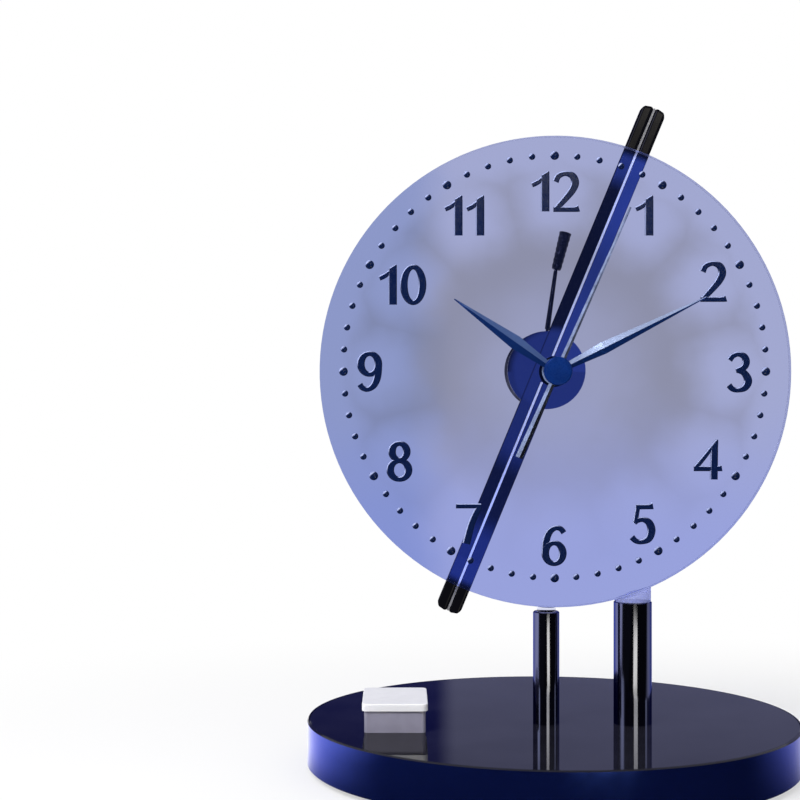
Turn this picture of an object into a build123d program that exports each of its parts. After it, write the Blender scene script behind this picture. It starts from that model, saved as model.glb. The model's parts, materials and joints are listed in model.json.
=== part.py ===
from build123d import *
import os
from math import cos, radians, sin, sqrt, tan

os.makedirs("parts", exist_ok=True)

# A mystery clock: a see-through dial on two posts, its quartz movement in a capsule behind the glass.
# Lengths are millimetres. The origin is on the table under the middle of the base, +Z is up, and the
# dial faces -Y. "Depth" is the Y value, which grows towards the back.

# Fits
RUNNING = 0.05
PUSHED_ON = 0.02
PLAY = 0.2
END_PLAY = 0.3
BOND = 0.1

# Base
BASE_R = 106.0
BASE_WALL = 3.0
BASE_EDGE = 0.5
DECK_T = 2.0
PLATE_T = 3.0
PLATE_RIM = 0.8
COVER_T = 2.0
FOOT_H = 2.0
FOOT_R = 7.0
FOOT_RING = 86.0
FOOT_COUNT = 4
FOOT_ANGLE = 45.0
BALLAST_IN_R = 66.0
BALLAST_H = 7.0
BALLAST_GAP = 1.0

# Base screws and bosses
BOSS_R = 4.0
BOSS_ROOT = 0.6
SCREW_R = 1.2
SCREW_HEAD_R = 2.6
SCREW_HEAD_H = 1.4
SCREW_BITE = 6.0
COVER_SCREWS = 4

# Battery box
CELL_R = 5.25
CELL_L = 44.5
CELL_TIP_R = 1.9
CELL_TIP_L = 1.0
CELL_SPACING = 0.8
TRAY_X = -5.0
TRAY_Y = 30.0
TRAY_WALL = 1.4
TRAY_ROOF = 1.1
CONTACT_ROOM = 2.5
CONTACT_T = 0.4
CONTACT_W = 8.0
CONTACT_PAD_R = 2.4
CONTACT_TAPER = 12.0
TAIL_L = 1.8
TAIL_W = 3.0
DOOR_LEDGE = 2.5
DOOR_TONGUE = 9.0
DOOR_HEAD_H = 1.0

# Light board
BOARD_X = 13.0
BOARD_Y = -39.0
BOARD_L = 54.0
BOARD_W = 22.0
BOARD_T = 1.6
BOARD_DROP = 4.0
BOARD_BOSS_R = 2.6
BOARD_BOSS_INSET = 3.2
TERMINAL_W = 3.6
TERMINAL_D = 6.0
TERMINAL_H = 4.4
CHIP_SIZE = 7.0
CHIP_H = 1.6
COIL_R = 4.0
COIL_H = 3.4

# Leads
LEAD_R = 0.8
LEAD_BEND = 2.5
KEY_LEAD_DROP_BEND = 2.0
KEY_LEAD_BEND = 12.0
KEY_LEAD_RUN = 16.0
BATTERY_LEAD_STEP = 2.6

# Posts
THIN_X = -3.7
THIN_R = 5.6
THIN_BORE_R = 3.0
THIN_TENON_R = 4.0
THIN_PASS_R = 1.5
THIN_SADDLE_H = 1.97
THIN_NECK_R = 4.0
THIN_LAMP_R = 2.5
THICK_X = 33.1
THICK_R = 8.1
THICK_BORE_R = 4.5
THICK_TENON_R = 6.0
THICK_PASS_R = 2.0
THICK_SADDLE_H = 3.24
THICK_NECK_R = 7.7
THICK_LAMP_R = 4.0
POST_EDGE = 0.4
TENON_BELOW_NUT = 1.0
WASHER_T = 1.0
WASHER_MARGIN = 4.0
NUT_H = 4.0
NUT_MARGIN = 2.6
NUT_SIDES = 6
SPIGOT_L = 6.0
LAMP_H = 6.5
LAMP_FLANGE_H = 1.2

# Dial
AXIS_H = 149.5
DIAL_R = 100.0
DIAL_T = 6.0
DIAL_Y = -14.0
DIAL_EDGE = 0.5
PIP_RING = 89.6
PIP_COUNT = 60
PIP_H = 0.9
PIP_R = 1.4
PIP_TOP_R = 0.8
HOUR_PIP_R = 1.9
HOUR_PIP_TOP_R = 1.2
PIPS_PER_HOUR = 5

# Clamp on the bush
BUSH_R = 3.5
BUSH_OVER = 0.4
DIAL_NUT_T = 2.2
DIAL_NUT_R = 5.4
DIAL_WASHER_T = 0.8
DIAL_WASHER_R = 5.8
GASKET_T = 1.0
GASKET_R = 6.5

# Carrier bar
HUB_X = -3.0
HUB_Z = 0.7
BAR_LEAN = 22.43
BAR_UP = 120.5
BAR_DOWN = 110.7
RAIL_W = 5.0
RAIL_T = 5.0
RAIL_CORNER = 1.3
RAIL_GAP = 0.9
RAIL_END = 1.1
INLAY_SUNK = 0.3

# Hands
HAND_T = 1.4
HAND_STEP = 1.4
HAND_CLEAR = 0.6
HOUR_ANGLE = 305.3
HOUR_L = 52.7
HOUR_W = 6.0
HOUR_WIDEST = 21.0
HOUR_BOSS_R = 4.6
MINUTE_ANGLE = 63.6
MINUTE_L = 70.0
MINUTE_W = 5.2
MINUTE_WIDEST = 22.0
MINUTE_BOSS_R = 4.2
ROOT_W = 2.4
TIP_W = 0.5
TIP_T = 0.5
SECOND_ANGLE = 24.0
SECOND_L = 75.0
SECOND_TAIL = 39.7
SECOND_W = 2.4
SECOND_TAIL_W = 3.2
SECOND_T = 1.0
SECOND_BOSS_R = 3.4
SECOND_TIP_W = 0.9
CAP_R = 6.0
CAP_T = 2.4
CAP_EDGE = 0.8

# Pipes and arbors
ARBOR_R = 0.6
MINUTE_PIPE_R = 1.2
HOUR_PIPE_R = 1.8
PIPE_OVER = 0.2
THIRD_ARBOR_R = 0.5
STUD_R = 0.6
PIVOT_DEPTH = 0.9

# Going train and motion work: tooth counts, modules and tooth form
TRAIN_MODULE = 0.22
THIRD_TEETH = 60
SECONDS_TEETH = 8
MINUTE_TEETH = 64
THIRD_PINION_TEETH = 8
MOTION_MODULE = 0.25
CANNON_TEETH = 12
MOTION_TEETH = 36
MOTION_PINION_TEETH = 10
HOUR_TEETH = 40
SETTING_TEETH = 12
MOTION_BEARING = -60.0
SETTING_BEARING = -120.0
WHEEL_T = 0.8
PINION_T = 1.2
LEVEL_STEP = 1.4
ADDENDUM = 0.85
DEDENDUM = 1.15
TIP_SHARE = 0.16
ROOT_SHARE = 0.56
HUB_WALL = 0.5

# Capsule
CAPSULE_R = 16.75
CAPSULE_WALL = 1.2
CAPSULE_FRONT_T = 1.5
CAPSULE_L = 18.5
CAPSULE_COVER_T = 1.5
CAPSULE_LIP = 1.0
CAPSULE_EDGE = 0.5
CASE_BOSS_R = 1.6
CASE_BOSS_ROOT = 0.25
CASE_SCREW_R = 0.6
CASE_SCREW_BITE = 3.0
CASE_HEAD_R = 1.2
CASE_HEAD_H = 0.8
PLATE_BOSS_ANGLES = (20, 160, 235)
COVER_BOSS_ANGLES = (70, 190, 330)
COVER_BOSS_L = 7.0

# Motor, cell and board
MOVEMENT_PLATE_T = 1.2
PILLAR_RING = 9.0
PILLAR_ANGLES = (45, 165, 285)
PILLAR_R = 0.8
PILLAR_SHOULDER_R = 1.5
STATOR_R = 8.2
STATOR_T = 0.6
STATOR_EAR_R = 1.9
STATOR_IN_R = 4.8
STATOR_POLES = 12
POLE_SLOT_W = 0.8
POLE_SLOT_R = 5.7
COIL_OUT_R = 7.8
COIL_IN_R = 5.9
COIL_T = 2.6
ROTOR_R = 4.4
ROTOR_T = 2.2
BRAKE_R = 3.5
BRAKE_T = 0.6
MOVEMENT_BOARD_R = 11.9
MOVEMENT_BOARD_T = 0.8
COIN_R = 10.0
COIN_T = 1.6
COIN_RIM = 0.6
SPRING_T = 0.3
SPRING_W = 4.0
SPRING_BASE = 5.0
SPRING_REACH = 7.0
SPRING_FOOT = 1.6

# Setting knob
KNOB_R = 4.0
KNOB_T = 3.0
KNOB_GROOVES = 16
KNOB_GROOVE_R = 0.4
SETTING_SHAFT_R = 1.0
SETTING_PIVOT_R = 0.5
COLLAR_R = 2.0
COLLAR_T = 0.8

# Stop lever
LEVER_T = 0.8
LEVER_SIDE = 0.3
LEVER_ABOVE = 10.5
LEVER_EYE_R = 2.2
LEVER_TILT = 8.1
LEVER_SWING = 8.5
LEVER_PIN_R = 0.8
LEVER_PIN_HEAD_R = 1.4
LEVER_PIN_HEAD_T = 0.6
STEM_R = 0.65
STEM_L = 33.0
STEM_BEND = 10.0
STEM_SLOT_GAP = 0.5
ARM_L = 9.0
ARM_LEAN = -18.0
ARM_HALF_W = 0.9
GRIP_TILT = 14.3
GRIP_R = 2.65
GRIP_FOOT_R = 2.1
GRIP_L = 17.0
GRIP_START = 0.8
GRIP_HOLD = 11.0
GRIP_EDGE = 0.6

# Light key
KEY_INSET = 38.0
KEY_Y = -16.0
KEY_W = 25.4
KEY_D = 38.4
KEY_H = 12.0
KEY_WALL = 1.6
KEY_CORNER = 1.6
CAP_TOP_T = 1.0
SKIRT_H = 3.0
SKIRT_WALL = 0.8
SKIRT_GAP = 0.12
KEY_TRAVEL = 1.2
KEY_BOARD_T = 1.2
SWITCH_SIZE = 6.0
SWITCH_H = 3.6
PLUNGER_R = 1.75
PLUNGER_IN = 1.2
KEY_SCREW_R = 1.0
KEY_SCREW_HEAD_R = 2.0
KEY_SCREW_HEAD_H = 1.3
KEY_BOSS_R = 2.2
KEY_SCREW_APART = 30.0
KEY_LEAD_Y = -10.0

# Levels of the base, which is as high as the cells and the plates over and under them
COVER_TOP = FOOT_H + COVER_T
SCREW_HOLE_TOP = COVER_TOP + SCREW_BITE + PLAY
CELL_Z = COVER_TOP + PLAY + CELL_R
CELL_ROOM_TOP = CELL_Z + CELL_R + PLAY
DECK_BOTTOM = CELL_ROOM_TOP + TRAY_ROOF
PLATE_BOTTOM = DECK_BOTTOM + DECK_T
BASE_H = PLATE_BOTTOM + PLATE_T
ROOM_R = BASE_R - BASE_WALL
KEY_X = KEY_INSET - BASE_R
COVER_BOSS_RING = ROOM_R - BOSS_R + BOSS_ROOT
AXIS_Z = BASE_H + AXIS_H

# Depths from the front of the seconds hand to the back of the capsule
DIAL_FRONT = DIAL_Y - DIAL_T / 2
DIAL_BACK = DIAL_Y + DIAL_T / 2
DIAL_NUT_REAR = DIAL_FRONT - DIAL_WASHER_T
BUSH_END = DIAL_NUT_REAR - DIAL_NUT_T - BUSH_OVER
HOUR_REAR = BUSH_END - HAND_CLEAR
MINUTE_REAR = HOUR_REAR - HAND_T - HAND_STEP
SECOND_REAR = MINUTE_REAR - HAND_T - HAND_STEP
CAP_REAR = SECOND_REAR - SECOND_T
BAR_FRONT = DIAL_BACK + GASKET_T
RAIL_Y = BAR_FRONT + RAIL_T / 2
CAPSULE_FRONT = BAR_FRONT + RAIL_T
FLOOR_Y = CAPSULE_FRONT + CAPSULE_FRONT_T
CAPSULE_REAR = CAPSULE_FRONT + CAPSULE_L
CAPSULE_BORE_R = CAPSULE_R - CAPSULE_WALL
CASE_BOSS_RING = CAPSULE_BORE_R - CASE_BOSS_R + CASE_BOSS_ROOT
CASE_HOLE_L = CASE_SCREW_BITE + PLAY

# Depths of the wheels inside the capsule
HOUR_LEVEL = FLOOR_Y + END_PLAY + WHEEL_T / 2
MOTION_LEVEL = HOUR_LEVEL + LEVEL_STEP
MINUTE_LEVEL = MOTION_LEVEL + LEVEL_STEP
THIRD_LEVEL = MINUTE_LEVEL + LEVEL_STEP
PLATE_FRONT = THIRD_LEVEL + PINION_T / 2 + END_PLAY
PLATE_BACK = PLATE_FRONT + MOVEMENT_PLATE_T
LEVER_Y = PLATE_BACK + END_PLAY + STEM_R
STATOR_FRONT = LEVER_Y + LEVER_T / 2 + END_PLAY
COIL_FRONT = STATOR_FRONT + STATOR_T
COIL_REAR = COIL_FRONT + COIL_T
BOARD_FRONT = COIL_REAR + STATOR_T
BOARD_REAR = BOARD_FRONT + MOVEMENT_BOARD_T
COIN_REAR = BOARD_REAR + COIN_T

# Places in the plane of the dial, as (right, up) from the axis of the hands
HUB = (HUB_X, HUB_Z)
TRAIN_APART = TRAIN_MODULE * (THIRD_TEETH + SECONDS_TEETH) / 2
MINUTE_MODULE = 2 * TRAIN_APART / (MINUTE_TEETH + THIRD_PINION_TEETH)
MOTION_APART = MOTION_MODULE * (CANNON_TEETH + MOTION_TEETH) / 2
HOUR_MODULE = 2 * MOTION_APART / (MOTION_PINION_TEETH + HOUR_TEETH)


def polar(centre, radius, angle):
    """Point at a radius and an angle, counted from right towards up, about a centre."""
    return (centre[0] + radius * cos(radians(angle)), centre[1] + radius * sin(radians(angle)))


def towards(start, length, angle):
    """Point at a length from a start, in a direction counted clockwise from straight up."""
    return polar(start, length, 90 - angle)


AXIS = (0.0, 0.0)
THIRD = polar(AXIS, TRAIN_APART, 180)
MOTION = polar(AXIS, MOTION_APART, MOTION_BEARING)
SETTING = polar(MOTION, MOTION_APART, SETTING_BEARING)
LEVER = (HUB_X + LEVER_SIDE, HUB_Z + LEVER_ABOVE)


def facing(depth, at=AXIS):
    """Plane at a depth, seen from the front: its normal is -Y and its y is up."""
    return Plane(origin=(at[0], depth, AXIS_Z + at[1]), x_dir=(1, 0, 0), z_dir=(0, -1, 0))


def along(angle, reach, depth, at=AXIS):
    """Plane square to a clock direction, at a reach from a place: its y is +Y."""
    place = towards(at, reach, angle)
    sine = sin(radians(angle))
    cosine = cos(radians(angle))
    return Plane(
        origin=(place[0], depth, AXIS_Z + place[1]),
        x_dir=(cosine, 0, -sine),
        z_dir=(sine, 0, cosine),
    )


def disc(front, rear, radius, at=AXIS, mode=Mode.ADD):
    """Round slab between two depths."""
    with BuildSketch(facing(rear, at)) as outline:
        Circle(radius)
    extrude(outline.sketch, amount=rear - front, mode=mode)


def column(bottom, top, radius, places, mode=Mode.ADD):
    """Upright round columns at places on the base."""
    with BuildSketch(Plane.XY.offset(bottom)) as outline:
        with Locations(*places):
            Circle(radius)
    extrude(outline.sketch, amount=top - bottom, mode=mode)


def block(bottom, top, size, place, mode=Mode.ADD):
    """Upright block with a rectangular footprint."""
    with BuildSketch(Plane.XY.offset(bottom)) as outline:
        with Locations(place):
            Rectangle(*size)
    extrude(outline.sketch, amount=top - bottom, mode=mode)


def ring_places(radius, count, start):
    """Evenly spaced places on a circle about the middle of the base."""
    return [polar(AXIS, radius, start + 360 * i / count) for i in range(count)]


def gear(front, rear, at, teeth, module, tooth_angle):
    """Straight-flanked gear with a tooth centred on a given angle."""
    tip_r = module * (teeth / 2 + ADDENDUM)
    root_r = module * (teeth / 2 - DEDENDUM)
    pitch = 360 / teeth
    corners = ((root_r, -ROOT_SHARE), (tip_r, -TIP_SHARE), (tip_r, TIP_SHARE), (root_r, ROOT_SHARE))
    points = [
        polar(AXIS, radius, tooth_angle + pitch * (i + share / 2))
        for i in range(teeth)
        for radius, share in corners
    ]
    with BuildSketch(facing(rear, at)) as outline:
        with BuildLine():
            Polyline(*points, close=True)
        make_face()
    extrude(outline.sketch, amount=rear - front)


def wheel(level, at, teeth, module, tooth_angle):
    """Wheel at its level."""
    gear(level - WHEEL_T / 2, level + WHEEL_T / 2, at, teeth, module, tooth_angle)


def pinion(level, at, teeth, module, tooth_angle):
    """Pinion, which is a little wider than the wheel that it drives."""
    gear(level - PINION_T / 2, level + PINION_T / 2, at, teeth, module, tooth_angle)


def lead(points, bend):
    """Wire along straight runs joined by arcs."""
    with BuildLine() as route:
        FilletPolyline(*points, radius=bend)
    with BuildSketch(Plane(origin=route.line @ 0, z_dir=route.line % 0)) as section:
        Circle(LEAD_R)
    sweep(section.sketch, path=route.line)


def blade(angle, rear, stations):
    """Hand with a flat back and a ridge in front, through stations of reach, width and thickness."""
    sections = []
    for reach, width, thickness in stations:
        with BuildSketch(along(angle, reach, rear)) as section:
            Polygon((-width / 2, 0), (width / 2, 0), (0, -thickness), align=None)
        sections.append(section.sketch)
    loft(sections, ruled=True)


# Places on the base, as (x, y)
COVER_SCREW_PLACES = ring_places(COVER_BOSS_RING, COVER_SCREWS, 0)
FOOT_PLACES = ring_places(FOOT_RING, FOOT_COUNT, FOOT_ANGLE)
THIN_PLACE = (THIN_X, DIAL_Y)
THICK_PLACE = (THICK_X, DIAL_Y)
KEY_PLACE = (KEY_X, KEY_Y)
KEY_SCREW_PLACES = [(KEY_X, KEY_Y - KEY_SCREW_APART / 2), (KEY_X, KEY_Y + KEY_SCREW_APART / 2)]
KEY_LEAD_PLACE = (KEY_X, KEY_LEAD_Y)
BOARD_BACK = BOARD_Y + BOARD_W / 2
BOARD_LEFT = BOARD_X - BOARD_L / 2
BOARD_RIGHT = BOARD_X + BOARD_L / 2
BOARD_BOSS_PLACES = [
    (BOARD_LEFT + BOARD_BOSS_INSET, BOARD_BACK - BOARD_BOSS_INSET),
    (BOARD_RIGHT - BOARD_BOSS_INSET, BOARD_BACK - BOARD_W + BOARD_BOSS_INSET),
]
BOARD_TOP = DECK_BOTTOM - BOARD_DROP
BOARD_UNDER = BOARD_TOP - BOARD_T
LEAD_Z = BOARD_UNDER - TERMINAL_H / 2 - LEAD_R
TAIL_BOTTOM = LEAD_Z - CONTACT_T / 2
TRAY_IN_L = CELL_L + 2 * CONTACT_ROOM
TRAY_IN_W = 4 * CELL_R + CELL_SPACING + 2 * PLAY
TRAY_OUT_L = TRAY_IN_L + 2 * TRAY_WALL
TRAY_OUT_W = TRAY_IN_W + 2 * TRAY_WALL
CELL_YS = (TRAY_Y - CELL_R - CELL_SPACING / 2, TRAY_Y + CELL_R + CELL_SPACING / 2)
TRAY_RIGHT = TRAY_X + TRAY_OUT_L / 2
TRAY_LEFT = TRAY_X - TRAY_OUT_L / 2
DOOR_L = TRAY_IN_L + 2 * DOOR_LEDGE
DOOR_W = TRAY_IN_W + 2 * DOOR_LEDGE
DOOR_SCREW_PLACE = (TRAY_LEFT - BOSS_R + BOSS_ROOT, TRAY_Y)

# Base shell: a turned profile, then its bosses and holes
with BuildPart() as base_shell:
    with BuildSketch(Plane.XZ):
        with BuildLine():
            Polyline(
                (0, DECK_BOTTOM),
                (ROOM_R, DECK_BOTTOM),
                (ROOM_R, FOOT_H),
                (BASE_R, FOOT_H),
                (BASE_R, BASE_H),
                (BASE_R - PLATE_RIM, BASE_H),
                (BASE_R - PLATE_RIM, PLATE_BOTTOM),
                (0, PLATE_BOTTOM),
                close=True,
            )
        make_face()
    revolve(axis=Axis.Z)
    rings = base_shell.edges().filter_by(GeomType.CIRCLE)
    chamfer(rings.filter_by(lambda ring: ring.radius == BASE_R), BASE_EDGE)
    column(COVER_TOP, DECK_BOTTOM, BOSS_R, COVER_SCREW_PLACES)
    column(COVER_TOP, SCREW_HOLE_TOP, SCREW_R + PUSHED_ON, COVER_SCREW_PLACES, Mode.SUBTRACT)
    column(BOARD_TOP, DECK_BOTTOM, BOARD_BOSS_R, BOARD_BOSS_PLACES)
    column(BOARD_TOP, DECK_BOTTOM, KEY_SCREW_R + PUSHED_ON, BOARD_BOSS_PLACES, Mode.SUBTRACT)
    column(DECK_BOTTOM, PLATE_BOTTOM, THIN_TENON_R + PLAY, [THIN_PLACE], Mode.SUBTRACT)
    column(DECK_BOTTOM, PLATE_BOTTOM, THICK_TENON_R + PLAY, [THICK_PLACE], Mode.SUBTRACT)
    column(DECK_BOTTOM, PLATE_BOTTOM, KEY_SCREW_R + PLAY, KEY_SCREW_PLACES, Mode.SUBTRACT)
    column(DECK_BOTTOM, PLATE_BOTTOM, LEAD_R + 2 * PLAY, [KEY_LEAD_PLACE], Mode.SUBTRACT)

with BuildPart() as top_plate:
    column(PLATE_BOTTOM, BASE_H, BASE_R - PLATE_RIM - PLAY, [AXIS])
    column(PLATE_BOTTOM, BASE_H, THIN_TENON_R + PLAY, [THIN_PLACE], Mode.SUBTRACT)
    column(PLATE_BOTTOM, BASE_H, THICK_TENON_R + PLAY, [THICK_PLACE], Mode.SUBTRACT)
    column(PLATE_BOTTOM, BASE_H, KEY_SCREW_R + PLAY, KEY_SCREW_PLACES, Mode.SUBTRACT)
    column(PLATE_BOTTOM, BASE_H, LEAD_R + 2 * PLAY, [KEY_LEAD_PLACE], Mode.SUBTRACT)
    chamfer(top_plate.edges().group_by(Axis.Z)[-1].sort_by(SortBy.LENGTH)[-1], BASE_EDGE / 2)

# Door opening: a ledge that carries the door, and the clear way to the cells
DOOR_PLACE = (TRAY_X - DOOR_TONGUE / 2, TRAY_Y)
DOOR_SIZE = (DOOR_L + DOOR_TONGUE, DOOR_W)
DOOR_STEP = FOOT_H + COVER_T / 2
ON_BASE = (Align.CENTER, Align.CENTER, Align.MIN)

with BuildPart() as bottom_cover:
    column(FOOT_H, COVER_TOP, ROOM_R - PLAY, [AXIS])
    block(FOOT_H, DOOR_STEP, DOOR_SIZE, DOOR_PLACE, Mode.SUBTRACT)
    block(DOOR_STEP, COVER_TOP, (TRAY_IN_L, TRAY_IN_W), (TRAY_X, TRAY_Y), Mode.SUBTRACT)
    column(DOOR_STEP, COVER_TOP, SCREW_R + PLAY, [DOOR_SCREW_PLACE], Mode.SUBTRACT)
    with Locations(*[(x, y, FOOT_H) for x, y in COVER_SCREW_PLACES]):
        Cylinder(SCREW_R + PLAY, COVER_T, align=ON_BASE, mode=Mode.SUBTRACT)
        Cone(SCREW_HEAD_R + PLAY, SCREW_R + PLAY, SCREW_HEAD_H, align=ON_BASE, mode=Mode.SUBTRACT)

with BuildPart() as cover_screws:
    with Locations(*[(x, y, FOOT_H) for x, y in COVER_SCREW_PLACES]):
        Cone(SCREW_HEAD_R, SCREW_R, SCREW_HEAD_H, align=ON_BASE)
    column(FOOT_H + SCREW_HEAD_H, COVER_TOP + SCREW_BITE, SCREW_R, COVER_SCREW_PLACES)

with BuildPart() as rubber_feet:
    column(0, FOOT_H, FOOT_R, FOOT_PLACES)
    chamfer(rubber_feet.edges().group_by(Axis.Z)[0], BASE_EDGE)

with BuildPart() as ballast_ring:
    column(COVER_TOP, COVER_TOP + BALLAST_H, COVER_BOSS_RING - BOSS_R - BALLAST_GAP, [AXIS])
    column(COVER_TOP, COVER_TOP + BALLAST_H, BALLAST_IN_R, [AXIS], Mode.SUBTRACT)
    chamfer(ballast_ring.edges().group_by(Axis.Z)[-1], BASE_EDGE)

# Battery box: open below, closed by the door in the cover
with BuildPart() as battery_tray:
    block(COVER_TOP, DECK_BOTTOM, (TRAY_OUT_L, TRAY_OUT_W), (TRAY_X, TRAY_Y))
    column(COVER_TOP, DECK_BOTTOM, BOSS_R, [DOOR_SCREW_PLACE])
    block(COVER_TOP, CELL_ROOM_TOP, (TRAY_IN_L, TRAY_IN_W), (TRAY_X, TRAY_Y), Mode.SUBTRACT)
    column(COVER_TOP, SCREW_HOLE_TOP, SCREW_R + PUSHED_ON, [DOOR_SCREW_PLACE], Mode.SUBTRACT)
    for cell_y in CELL_YS:
        slot = (TRAY_WALL + 2 * PLAY, TAIL_W + 2 * PLAY)
        place = (TRAY_RIGHT - TRAY_WALL / 2, cell_y)
        block(TAIL_BOTTOM - PLAY, TAIL_BOTTOM + CONTACT_T + PLAY, slot, place, Mode.SUBTRACT)

with BuildPart() as battery_cells:
    for cell_y, side in zip(CELL_YS, (1, -1)):
        end = Plane(origin=(TRAY_X - side * CELL_L / 2, cell_y, CELL_Z), z_dir=(side, 0, 0))
        with BuildSketch(end):
            Circle(CELL_R)
        extrude(amount=CELL_L - CELL_TIP_L)
        with BuildSketch(end.offset(CELL_L - CELL_TIP_L)):
            Circle(CELL_TIP_R)
        extrude(amount=CELL_TIP_L)

CONTACT_BOTTOM = COVER_TOP + PLAY
CONTACT_TOP = CELL_Z + CELL_R
PAD_L = CONTACT_ROOM - CONTACT_T
with BuildPart() as battery_contacts:
    bridge_x = TRAY_X - TRAY_IN_L / 2 + CONTACT_T / 2
    block(CONTACT_BOTTOM, CONTACT_TOP, (CONTACT_T, TRAY_IN_W - 2 * PLAY), (bridge_x, TRAY_Y))
    for cell_y in CELL_YS:
        single_x = TRAY_X + TRAY_IN_L / 2 - CONTACT_T / 2
        block(CONTACT_BOTTOM, CONTACT_TOP, (CONTACT_T, CONTACT_W), (single_x, cell_y))
        tail_x = single_x + (TRAY_WALL + TAIL_L) / 2
        tail = (CONTACT_T + TRAY_WALL + TAIL_L, TAIL_W)
        block(TAIL_BOTTOM, TAIL_BOTTOM + CONTACT_T, tail, (tail_x, cell_y))
        for pad_x, side in ((bridge_x, 1), (single_x, -1)):
            face = Plane(origin=(pad_x + side * CONTACT_T / 2, cell_y, CELL_Z), z_dir=(side, 0, 0))
            with BuildSketch(face):
                Circle(CONTACT_PAD_R)
            extrude(amount=PAD_L, taper=CONTACT_TAPER)

with BuildPart() as battery_door:
    block(FOOT_H, DOOR_STEP, (DOOR_SIZE[0] - 2 * PLAY, DOOR_SIZE[1] - 2 * PLAY), DOOR_PLACE)
    plug = (TRAY_IN_L - 2 * PLAY, TRAY_IN_W - 2 * PLAY)
    block(DOOR_STEP, COVER_TOP - PLAY, plug, (TRAY_X, TRAY_Y))
    column(FOOT_H, DOOR_STEP, SCREW_R + PLAY, [DOOR_SCREW_PLACE], Mode.SUBTRACT)

with BuildPart() as door_screw:
    column(FOOT_H - DOOR_HEAD_H, FOOT_H, SCREW_HEAD_R, [DOOR_SCREW_PLACE])
    column(FOOT_H, COVER_TOP + SCREW_BITE, SCREW_R, [DOOR_SCREW_PLACE])

# Light board with its parts on the underside, and its terminals
BATTERY_LEAD_X = TRAY_RIGHT + TAIL_L + LEAD_BEND + LEAD_R
BATTERY_LEAD_XS = (BATTERY_LEAD_X, BATTERY_LEAD_X + BATTERY_LEAD_STEP)
with BuildPart() as light_board:
    block(BOARD_UNDER, BOARD_TOP, (BOARD_L, BOARD_W), (BOARD_X, BOARD_Y))
    column(BOARD_UNDER, BOARD_TOP, KEY_SCREW_R + PLAY, BOARD_BOSS_PLACES, Mode.SUBTRACT)
    block(BOARD_UNDER - CHIP_H, BOARD_UNDER, (CHIP_SIZE, CHIP_SIZE), (BOARD_X - CHIP_SIZE, BOARD_Y))
    column(BOARD_UNDER - COIL_H, BOARD_UNDER, COIL_R, [(BOARD_X + CHIP_SIZE, BOARD_Y)])

TERMINAL_Y = BOARD_BACK - TERMINAL_D / 2
TERMINAL_BOTTOM = BOARD_UNDER - TERMINAL_H
BATTERY_TERMINAL_X = sum(BATTERY_LEAD_XS) / 2
KEY_TERMINAL_Y = BOARD_Y
KEY_TERMINAL_X = BOARD_LEFT + TERMINAL_D / 2
with BuildPart() as board_terminals:
    for terminal_x in (THIN_X, THICK_X):
        block(TERMINAL_BOTTOM, BOARD_UNDER, (TERMINAL_W, TERMINAL_D), (terminal_x, TERMINAL_Y))
    battery_terminal = (TERMINAL_W + BATTERY_LEAD_STEP, TERMINAL_D)
    block(TERMINAL_BOTTOM, BOARD_UNDER, battery_terminal, (BATTERY_TERMINAL_X, TERMINAL_Y))
    block(BOARD_TOP, DECK_BOTTOM - END_PLAY, (TERMINAL_D, TERMINAL_W), (KEY_TERMINAL_X, KEY_TERMINAL_Y))

with BuildPart() as board_screws:
    column(BOARD_UNDER - KEY_SCREW_HEAD_H, BOARD_UNDER, KEY_SCREW_HEAD_R, BOARD_BOSS_PLACES)
    column(BOARD_UNDER, DECK_BOTTOM - END_PLAY, KEY_SCREW_R, BOARD_BOSS_PLACES)

# Posts
WASHER_BOTTOM = DECK_BOTTOM - WASHER_T
NUT_BOTTOM = WASHER_BOTTOM - NUT_H
TENON_END = NUT_BOTTOM - TENON_BELOW_NUT
THIN_TOP = AXIS_Z - sqrt(DIAL_R**2 - THIN_X**2) - THIN_SADDLE_H
THICK_TOP = AXIS_Z - sqrt(DIAL_R**2 - THICK_X**2) - THICK_SADDLE_H


def post(place, radius, top, bore_r, tenon_r, pass_r):
    """Tube with a shouldered tenon, bored for its lamp and lead."""
    column(BASE_H, top, radius, [place])
    chamfer(faces().sort_by(Axis.Z)[-1].edges(), POST_EDGE)
    column(TENON_END, BASE_H, tenon_r, [place])
    column(BASE_H, top, bore_r, [place], Mode.SUBTRACT)
    column(TENON_END, BASE_H, pass_r, [place], Mode.SUBTRACT)


with BuildPart() as thin_post:
    post(THIN_PLACE, THIN_R, THIN_TOP, THIN_BORE_R, THIN_TENON_R, THIN_PASS_R)

with BuildPart() as thick_post:
    post(THICK_PLACE, THICK_R, THICK_TOP, THICK_BORE_R, THICK_TENON_R, THICK_PASS_R)

with BuildPart() as post_washers:
    for place, tenon_r in ((THIN_PLACE, THIN_TENON_R), (THICK_PLACE, THICK_TENON_R)):
        column(WASHER_BOTTOM, DECK_BOTTOM, tenon_r + WASHER_MARGIN, [place])
        column(WASHER_BOTTOM, DECK_BOTTOM, tenon_r + PLAY, [place], Mode.SUBTRACT)

with BuildPart() as post_nuts:
    for place, tenon_r in ((THIN_PLACE, THIN_TENON_R), (THICK_PLACE, THICK_TENON_R)):
        with BuildSketch(Plane.XY.offset(NUT_BOTTOM)):
            with Locations(place):
                RegularPolygon(tenon_r + NUT_MARGIN, NUT_SIDES, major_radius=False)
                Circle(tenon_r + PUSHED_ON, mode=Mode.SUBTRACT)
        extrude(amount=NUT_H)


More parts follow.
